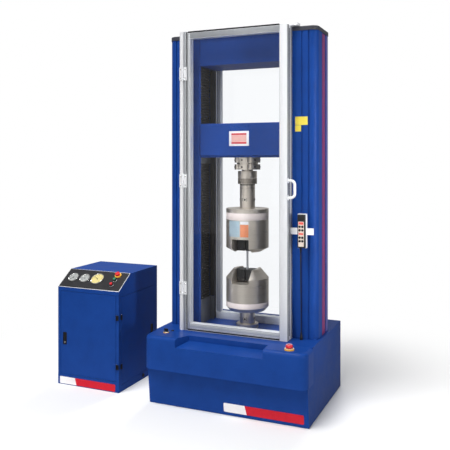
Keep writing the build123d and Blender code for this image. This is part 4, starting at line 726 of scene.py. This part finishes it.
class MACHINE_OT_crosshead_trim(bpy.types.Operator):
    """Puts the plain plate on the crosshead"""
    bl_idname = "machine.crosshead_trim"
    bl_label = "Crosshead trim"

    def execute(self, context):
        centre = at(FRONT, -6, FRAME_FRONT, 1589)
        fit(plate("crosshead_plate", (129, 90, 1.5), 3, 0.4), [centre], "white film", "crosshead")
        fit(plate("plate_field", (98, 64, 0.3), 2, 0.1), [centre @ shift(0, 0, 1.5)], "pale red film", "crosshead")
        fit(plate("plate_bars", (98, 9, 0.3), 0.5, 0.1), [centre @ shift(0, y, 1.8) for y in (-27, 27)], "red film",
            "crosshead")
        return {"FINISHED"}


def two_tone(name, left, right, split, low, high, matrix, lean=6):
    """A bare plate in two colours that meet on a slant, with rounded outer corners."""
    height = high - low
    for tone, x0, x1, hand in (("white", left, split, 1), ("red", split, right, -1)):
        part = plate(f"{name}_{tone}", (x1 - x0, height, 1.2), 0, 0)
        inner = (x1 - x0) / 2 * hand
        edit(part, "EDGE", lambda middle, run: abs(middle.x + inner) < 0.1 and abs(run.z) > 0.9)
        bpy.ops.mesh.bevel(offset=7 * MM, segments=4, affect="EDGES")
        for end in (1, -1):
            edit(part, "EDGE", lambda middle, run: abs(middle.x - inner) < 0.1 and middle.y * end > height / 2 - 0.1)
            bpy.ops.transform.translate(value=(-end * lean * MM, 0, 0))
        fit(part, [matrix @ shift((x0 + x1) / 2, (low + high) / 2, 0)], f"{tone} film")


class MACHINE_OT_base_trim(bpy.types.Operator):
    """Adds the bare plate, the controls' rings, the rear louvre lips and the rear screws of the base"""
    bl_idname = "machine.base_trim"
    bl_label = "Base trim"

    def execute(self, context):
        # The lower front leans out by 24 mm over its 222 mm
        lower_front = at(TOP, 0, -350, 2) @ Matrix.Rotation(math.atan2(24, 222), 4, "X") @ FRONT
        two_tone("base_plate", -7, 468, 128, 18, 70, lower_front)
        for name, outline, steps, (x, y), finish, body in (
                ("stop_ring", [(22.5, 430), (26, 430), (26.3, 430.3), (26, 430.7), (22.5, 430.7), (22.5, 430)], 40,
                 STOP_CENTRE, "white plastic", "load_frame"),
                ("stop_cap_rim", [(13, 451), (15.5, 451), (15.5, 451.6), (13, 451.6), (13, 451)], 32,
                 STOP_CENTRE, "white plastic", "stop_control"),
                ("switch_ring", [(12.5, 426), (16, 426), (17, 427), (16.5, 429), (13.5, 429), (12.5, 428),
                                 (12.5, 426)], 40, (-400, -319), STEEL, "load_frame"),
                ("key_lock", [(0, 421), (9, 421), (9, 424), (7.5, 425.5), (4, 425.5), (4, 423), (0, 423)], 32,
                 (-383, -268), BLACK, "load_frame")):
            fit(turned(name, outline, steps), [at(TOP, x, y, 0)], finish, body)
        places = [at(REAR, side * 250, BASE_REAR, 211.2 + 18 * row) for side in (-1, 1) for row in range(7)]
        fit(plate("louvre_lips", (140, 4, 1.2), 0, 0.6), places, "blue powder coat")
        places = [at(REAR, side * 476, BASE_REAR, z) for side in (-1, 1) for z in (30, 220, 398)]
        places += [at(REAR, 0, BASE_REAR, z) for z in (30, 398)]
        fit(screw_head("rear_panel_screws", 4.5, 0.9), places, STEEL)
        places = [at(REAR, x, 350, z) for x, z in ((-387, 106), (-373, 106), (-380, 114))]
        fit(plate("inlet_pins", (2.2, 5, 6), 0, 0.4), places, STEEL)
        return {"FINISHED"}


class MACHINE_OT_pendant(bpy.types.Operator):
    """Makes the pendant's keypad and its hanging lead"""
    bl_idname = "machine.pendant"
    bl_label = "Pendant and lead"

    def execute(self, context):
        self.lead()
        # The keys stand on the keypad, which is 0.8 mm thick
        middle, front, pad = 408, -209, -209.8
        slabs("keypad", [((33, 142, 0.8), FRONT, middle, front, 1038)], "beige keypad", corner=3)
        slabs("pendant_window", [((33, 20, 0.6), FRONT, middle, front, 1128)], BLACK, corner=2)
        slabs("red_keys", [((27, height, 1.2), FRONT, middle, pad, z) for z, height in ((1099, 14), (1039, 9))],
              "keypad red", corner=2, edge=0.4)
        places = [at(FRONT, middle + x, pad, z) for x in (-8, 8) for z in (1080, 1060, 1018, 998)]
        fit(turned("black_keys", [(0, 0), (7, 0), (7, 1.6), (6.2, 2.2), (0, 2.4)], 24), places, BLACK)
        slabs("pendant_seam", [((1.2, 185, 0.3), turn, x, -190, 1053.7) for turn, x in ((RIGHT, 430), (LEFT, 386))],
              "grey powder coat", edge=0)
        places = [at(FRONT, x, -172, z) for x in (300, 458) for z in (1040, 1060)]
        fit(screw_head("strip_screws", 4.5, 1.8), places, STEEL)
        return {"FINISHED"}

    def lead(self):
        """The pendant's lead hangs to a gland on the base; its points are the route's own."""
        route = [
            (0.400667, -0.192, 0.95921), (0.401, -0.192, 0.884), (0.401, -0.189, 0.800), (0.399, -0.179, 0.712),
            (0.396, -0.166, 0.622), (0.391, -0.151, 0.532), (0.390, -0.146, 0.437),
        ]
        curve = bpy.data.curves.new("pendant_lead", "CURVE")
        curve.dimensions = "3D"
        spline = curve.splines.new("NURBS")
        spline.points.add(len(route) - 1)
        for point, place in zip(spline.points, route):
            point.co = (*place, 1)
        spline.order_u = 3
        spline.use_endpoint_u = True
        spline.resolution_u = 12
        curve.bevel_depth = 3.5 * MM
        curve.bevel_resolution = 4
        curve.use_fill_caps = True
        curve.materials.append(FINISHES[BLACK])
        lead = bpy.data.objects.new("pendant_lead", curve)
        bpy.context.scene.collection.objects.link(lead)
        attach(lead, "load_frame")
        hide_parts("pendant_cord")
        # Ribbed strain reliefs, wide where the lead leaves the case and the gland
        taper = [(3.4, 0), (7.0, 0), (7.0, 3), (6.4, 4), (6.4, 8), (5.9, 9), (5.9, 13), (5.4, 14), (5.4, 18),
                 (4.9, 19), (4.9, 24), (4.2, 30), (3.4, 30), (3.4, 0)]
        top, foot = (fit(turned(name, taper, 24), [Matrix.Translation(end) @ Matrix.Rotation(turn, 4, "X")], BLACK)
                     for name, end, turn in (("case_strain_relief", route[0], math.pi),
                                             ("gland_strain_relief", route[-1], math.radians(3.1))))


class MACHINE_OT_unit_trim(bpy.types.Operator):
    """Finishes the power unit: panel trim, dials, button rings, latches, hinges, vents and its bare plate"""
    bl_idname = "machine.unit_trim"
    bl_label = "Power unit trim"

    def execute(self, context):
        sides = [((465, 4, 1.2), 232.5, up) for up in (2.2, SLOPE_LENGTH - 2.2)]
        sides += [((4, SLOPE_LENGTH - 2, 1.2), x, SLOPE_LENGTH / 2) for x in (2.2, 462.8)]
        rim = [seat(plate("rim", size, 0, 0.4), on_panel(x, up, -PANEL_PLATE)) for size, x, up in sides]
        dress(merge("panel_rim", rim), "satin anodised aluminium")
        self.gauges()
        two_tone("unit_plate", -1196, -772, -1072, 5, 50, at(FRONT, 0, UNIT_FRONT, 0))
        collar = [(9, 0), (21, 0), (22, 1), (22, 6), (20, 8), (9, 8), (9, 0)]
        fit(turned("unit_stop_collar", collar, 48), [on_panel(392, 134)], "yellow plastic")
        bezel = [(10.4, 0), (14.4, 0), (14.4, 2), (13.4, 3.4), (10.4, 3.4), (10.4, 0)]
        fit(turned("button_bezels", bezel, 32), [on_panel(389, 92), on_panel(387, 49)], "white plastic")
        self.latches()
        self.hinges()
        self.rear()
        return {"FINISHED"}

    def latches(self):
        """Key cylinders on the latches and their black frames."""
        key = [(0, 0), (5.5, 0), (5.5, 1.2), (4.8, 1.8), (1.2, 1.8), (1.2, 0.8), (0, 0.8)]
        latches = (("front", at(FRONT, -1157, UNIT_FRONT, 300)), ("side", at(RIGHT, UNIT_RIGHT, 108, 300)))
        for side, place in latches:
            fit(turned(f"{side}_latch_key", key, 24), [place @ shift(0, -26, 0)], STEEL, f"{side}_latch_paddle")
        for side, place in latches:
            border = plate(f"{side}_latch_frame", (30, 80, 1.4), 4, 0.5)
            edit(border, "FACE", lambda middle, normal: abs(normal.z) > 0.9)
            bpy.ops.mesh.inset(thickness=2.6 * MM)
            bpy.ops.mesh.delete(type="FACE")
            self.close_ring(border)
            fit(border, [place], BLACK, f"unit_{side}_door")

    def close_ring(self, piece):
        """Bridges the inner rims that are left when a plate's two faces are opened."""
        edit(piece, "EDGE")
        bpy.ops.mesh.select_all(action="DESELECT")
        mesh = bmesh.from_edit_mesh(piece.data)
        for rim in mesh.edges:
            rim.select_set(rim.is_boundary)
        bmesh.update_edit_mesh(piece.data)
        bpy.ops.mesh.bridge_edge_loops()
        bpy.ops.mesh.select_all(action="SELECT")
        bpy.ops.mesh.normals_make_consistent(inside=False)
        clear()

    def hinges(self):
        """Dark sleeves, leaves and pins of the two doors' hinges, and the grommet beside them."""
        bases = (143, 452)

        def barrels(rise):
            return [at(TOP, x, y, base + rise) for base in bases for x, y in ((-762, -306), (-742, -273))]
        sleeve = [(4.05, 1), (4.35, 1), (4.35, 33), (4.05, 33), (4.05, 1)]
        sleeves = seat(turned("unit_hinge_sleeves", sleeve, 24), *barrels(0))
        slabs("unit_hinge_leaves", [((12, 31, 0.6), turn, x, y, base + 17) for base in bases
                                    for turn, x, y in ((FRONT, -752.5, -304), (RIGHT, -744, -282.5))],
              BLACK, corner=1, edge=0.2)
        dress(sleeves, BLACK)
        pin = [(0, 0), (2.6, 0), (2.6, 1.4), (1.6, 2.2), (0, 2.4)]
        fit(turned("unit_hinge_pins", pin, 16), barrels(34), STEEL)
        grommet = [(0, 0), (13, 0), (13, 1.5), (11, 4), (6, 4), (6, 1), (0, 1)]
        fit(turned("unit_grommet", grommet, 32), [at(RIGHT, UNIT_RIGHT, -7, 24)], BLACK)

    def rear(self):
        """Louvre lips, screws and hose unions on the back of the power unit."""
        places = [at(REAR, x, UNIT_REAR, 430 + 20 * row) for x in (-1090, -867) for row in range(9)]
        fit(plate("unit_louvres", (180, 5, 2.4), 0, 1.2), places, "blue powder coat")
        places = [at(REAR, x, UNIT_REAR, z) for x in (-1196, -761) for z in (20, 364, 706)]
        fit(screw_head("unit_rear_screws", 4.5, 1.6), places, STEEL)
        union = [(0, 0), (15, 0), (15, 6), (11, 7), (11, 16), (8, 17), (8, 24), (4, 24), (4, 18), (0, 18)]
        places = [at(REAR, x, UNIT_REAR, 120) for x in (-1030, -980, -930)]
        fit(turned("hose_unions", union, 6), places, STEEL)

    def gauges(self):
        """Three dials under domed glasses, with generic numbers and a needle."""
        marks, figures, needles, hubs, glasses, rings = [], [], [], [], [], []
        card_top = 8.4
        for index, (x, up, radius) in enumerate(((79, 80, 35.5), (167, 80, 35.5), (263, 83, 45))):
            place = on_panel(x, up)
            face = radius - 4.2
            card = turned(f"dial_card_{index}", [(0, 8.05), (face, 8.05), (face, card_top), (0, card_top)], 48)
            fit(card, [place], "yellow dial card" if index == 2 else "dial card")
            for step in range(21):
                angle = math.radians(-135 + 13.5 * step)
                numbered = step % 5 == 0
                width, height, margin = (1.3, 6, 4) if numbered else (0.7, 3.5, 2.8)
                marks.append(seat(plate("mark", (width, height, 0.15), 0, 0), place @ Matrix.Rotation(-angle, 4, "Z")
                                  @ shift(0, face - margin, card_top)))
                if numbered:
                    reach = face - 11.5
                    figures.append((str(step * 2), place @ shift(math.sin(angle) * reach, math.cos(angle) * reach,
                                                                 card_top + 0.05)))
            turn = place @ Matrix.Rotation(math.radians(135 - 40 * index), 4, "Z")
            needles.append(seat(plate("needle", (1.8, face * 1.1, 0.5), 0.4, 0.1), turn @ shift(0, face * 0.35, 9.2)))
            hubs.append(seat(turned("hub", [(0, 8.4), (3.4, 8.4), (3.4, 10.4), (2.6, 11), (0, 11)], 20), place))
            ring = [(face, 8.4), (face, 11.4), (radius - 2.4, 13.4), (radius - 0.6, 13.2), (radius + 0.4, 11.5),
                    (radius + 0.4, 1.0), (radius + 0.05, 1.0), (radius + 0.05, 12.05), (face, 8.4)]
            rings.append(seat(turned("bezel", ring, 64), place))
            dome = [(0, 12.9), (face * 0.6, 12.5), (face, 11.2), (face, 10.6), (face * 0.6, 11.9), (0, 12.3)]
            glasses.append(seat(turned("glass", dome, 48), place))
        for name, pieces in (("dial_marks", marks), ("dial_needles", needles), ("dial_hubs", hubs)):
            dress(merge(name, pieces), BLACK)
        dress(merge("gauge_bezels", rings), STEEL)
        dress(merge("gauge_glasses", glasses), "clear acrylic")
        dress(lettering("dial_figures", figures, 6.0), BLACK)


class MACHINE_OT_stage(bpy.types.Operator):
    """Sets the camera, the pale floor, the white surroundings and the soft lamps"""
    bl_idname = "machine.stage"
    bl_label = "Stage"

    def execute(self, context):
        scene = context.scene
        scene.view_settings.view_transform = "Standard"
        data = bpy.data.cameras.new("camera")
        camera = bpy.data.objects.new("camera", data)
        scene.collection.objects.link(camera)
        camera.location = (1.465, -3.733, 1.4575)
        camera.rotation_euler = (math.pi / 2, 0, math.radians(23.43))
        data.sensor_width = SENSOR
        data.lens = FOCAL / PICTURE * SENSOR
        data.shift_y = (HORIZON - PICTURE / 2) / PICTURE
        data.clip_end = 60
        scene.camera = camera
        clear()
        bpy.ops.mesh.primitive_circle_add(vertices=96, radius=9.0, fill_type="NGON", location=(-0.3, 0.0, -0.0005))
        floor = context.object
        floor.name = "floor"
        bake_place()
        floor.data.materials.append(self.floor_paint())
        self.surroundings(scene)
        for name, place, size, power, spread, aim in [
            ("top_lamp", (-1.5, -4.5, 10.0), (5.0, 5.0), 1080, 180, (-0.3, 0, 0.9)),
            ("strip_lamp", (-1.0, -5.8, 1.6), (0.6, 3.0), 40, 180, (0.0, 0, 1.0)),
            ("side_lamp", (2.6, -1.15, 1.4), (0.4, 1.8), 3.8, 30, (0.35, -0.15, 1.35)),
            ("back_lamp", (-0.3, 6.0, 7.0), (3.0, 3.0), 260, 180, (-0.3, 0, 0.8)),
        ]:
            data = bpy.data.lights.new(name, "AREA")
            data.shape = "RECTANGLE"
            data.size, data.size_y = size
            data.energy = power * scene.machine.lamp_power
            data.spread = math.radians(spread)
            lamp = bpy.data.objects.new(name, data)
            scene.collection.objects.link(lamp)
            lamp.location = place
            lamp.visible_camera = lamp.visible_transmission = False
            lamp.rotation_euler = (Vector(aim) - Vector(place)).to_track_quat("-Z", "Y").to_euler()
        return {"FINISHED"}

    def floor_paint(self):
        """Matt white studio floor that fades into the white surroundings away from the machine."""
        material, tree, shader = blank("studio_floor")
        feed(shader, {"Base Color": linear("#f2f2f2"), "Roughness": 0.9, "Specular IOR Level": 0.1})
        place = add(tree, "TexCoord").outputs["Object"]
        reach = add(tree, "VectorMath", {0: place}, operation="LENGTH").outputs["Value"]
        fade = add(tree, "MapRange", {"Value": reach, "From Min": 1.2, "From Max": 2.4},
                   interpolation_type="SMOOTHSTEP")
        glow = add(tree, "Emission", {"Strength": self.white_level(tree, MIRRORED_FLOOR)})
        depth = add(tree, "LightPath").outputs["Glossy Depth"]
        passed = add(tree, "Math", {0: depth, 1: 0.5}, operation="GREATER_THAN")
        share = add(tree, "Math", {0: fade, 1: passed}, operation="MAXIMUM")
        feed(tree.nodes["Material Output"], {"Surface": add(tree, "MixShader", {0: share, 1: shader, 2: glow})})
        return material

    def white_level(self, tree, mirrored):
        """White to the camera and through glass, a set level to mirrors, and a weak fill for everything else."""
        rays = add(tree, "LightPath").outputs
        direct = add(tree, "Math", {0: rays["Is Camera Ray"], 1: rays["Is Transmission Ray"]}, operation="MAXIMUM")
        # A mirrored ray that then passes a pane still counts as mirrored
        mirrors = add(tree, "Math", {0: rays["Glossy Depth"], 1: 1.0}, operation="MINIMUM")
        seen = add(tree, "Math", {0: direct, 1: mirrors}, operation="SUBTRACT")
        gloss = add(tree, "Math", {0: mirrors, 1: mirrored}, operation="MULTIPLY")
        most = add(tree, "Math", {0: seen, 1: gloss}, operation="MAXIMUM")
        return add(tree, "Math", {0: most, 1: FILL_LEVEL}, operation="MAXIMUM")

    def surroundings(self, scene):
        """The white studio round the machine; mirrors find it bright in front and dimmer behind."""
        scene.world = bpy.data.worlds.new("studio")
        scene.world.use_nodes = True
        tree = scene.world.node_tree
        look = add(tree, "TexCoord").outputs["Generated"]
        ahead = add(tree, "SeparateXYZ", {"Vector": look}).outputs["Y"]
        mirrored = add(tree, "MapRange", {"Value": ahead, "From Min": -0.35, "From Max": 0.35,
                                          "To Min": MIRRORED_FRONT, "To Max": MIRRORED_BEHIND})
        feed(tree.nodes["Background"], {"Color": (1, 1, 1, 1), "Strength": self.white_level(tree, mirrored)})


class MACHINE_PT_panel(bpy.types.Panel):
    """Lists the machine's sizes and the operators that build its pieces"""
    bl_label = "Testing machine"
    bl_idname = "MACHINE_PT_panel"
    bl_space_type = "VIEW_3D"
    bl_region_type = "UI"
    bl_category = "Testing machine"

    def draw(self, context):
        for name in MachineSettings.__annotations__:
            self.layout.prop(context.scene.machine, name)
        for operator in OPERATORS:
            self.layout.operator(operator.bl_idname)


OPERATORS = (
    MACHINE_OT_finishes, MACHINE_OT_stage, MACHINE_OT_pendant, MACHINE_OT_bellows, MACHINE_OT_guard_trim,
    MACHINE_OT_column_trim, MACHINE_OT_grip_trim, MACHINE_OT_crosshead_trim, MACHINE_OT_base_trim,
    MACHINE_OT_unit_trim,
)
CLASSES = (MachineSettings, *OPERATORS, MACHINE_PT_panel)


def register():
    for kind in CLASSES:
        bpy.utils.register_class(kind)
    bpy.types.Scene.machine = bpy.props.PointerProperty(type=MachineSettings)


def unregister():
    del bpy.types.Scene.machine
    for kind in reversed(CLASSES):
        bpy.utils.unregister_class(kind)


def main():
    """Builds every piece in order."""
    register()
    for operator in OPERATORS:
        group, name = operator.bl_idname.split(".")
        getattr(getattr(bpy.ops, group), name)()


if __name__ == "__main__":
    main()
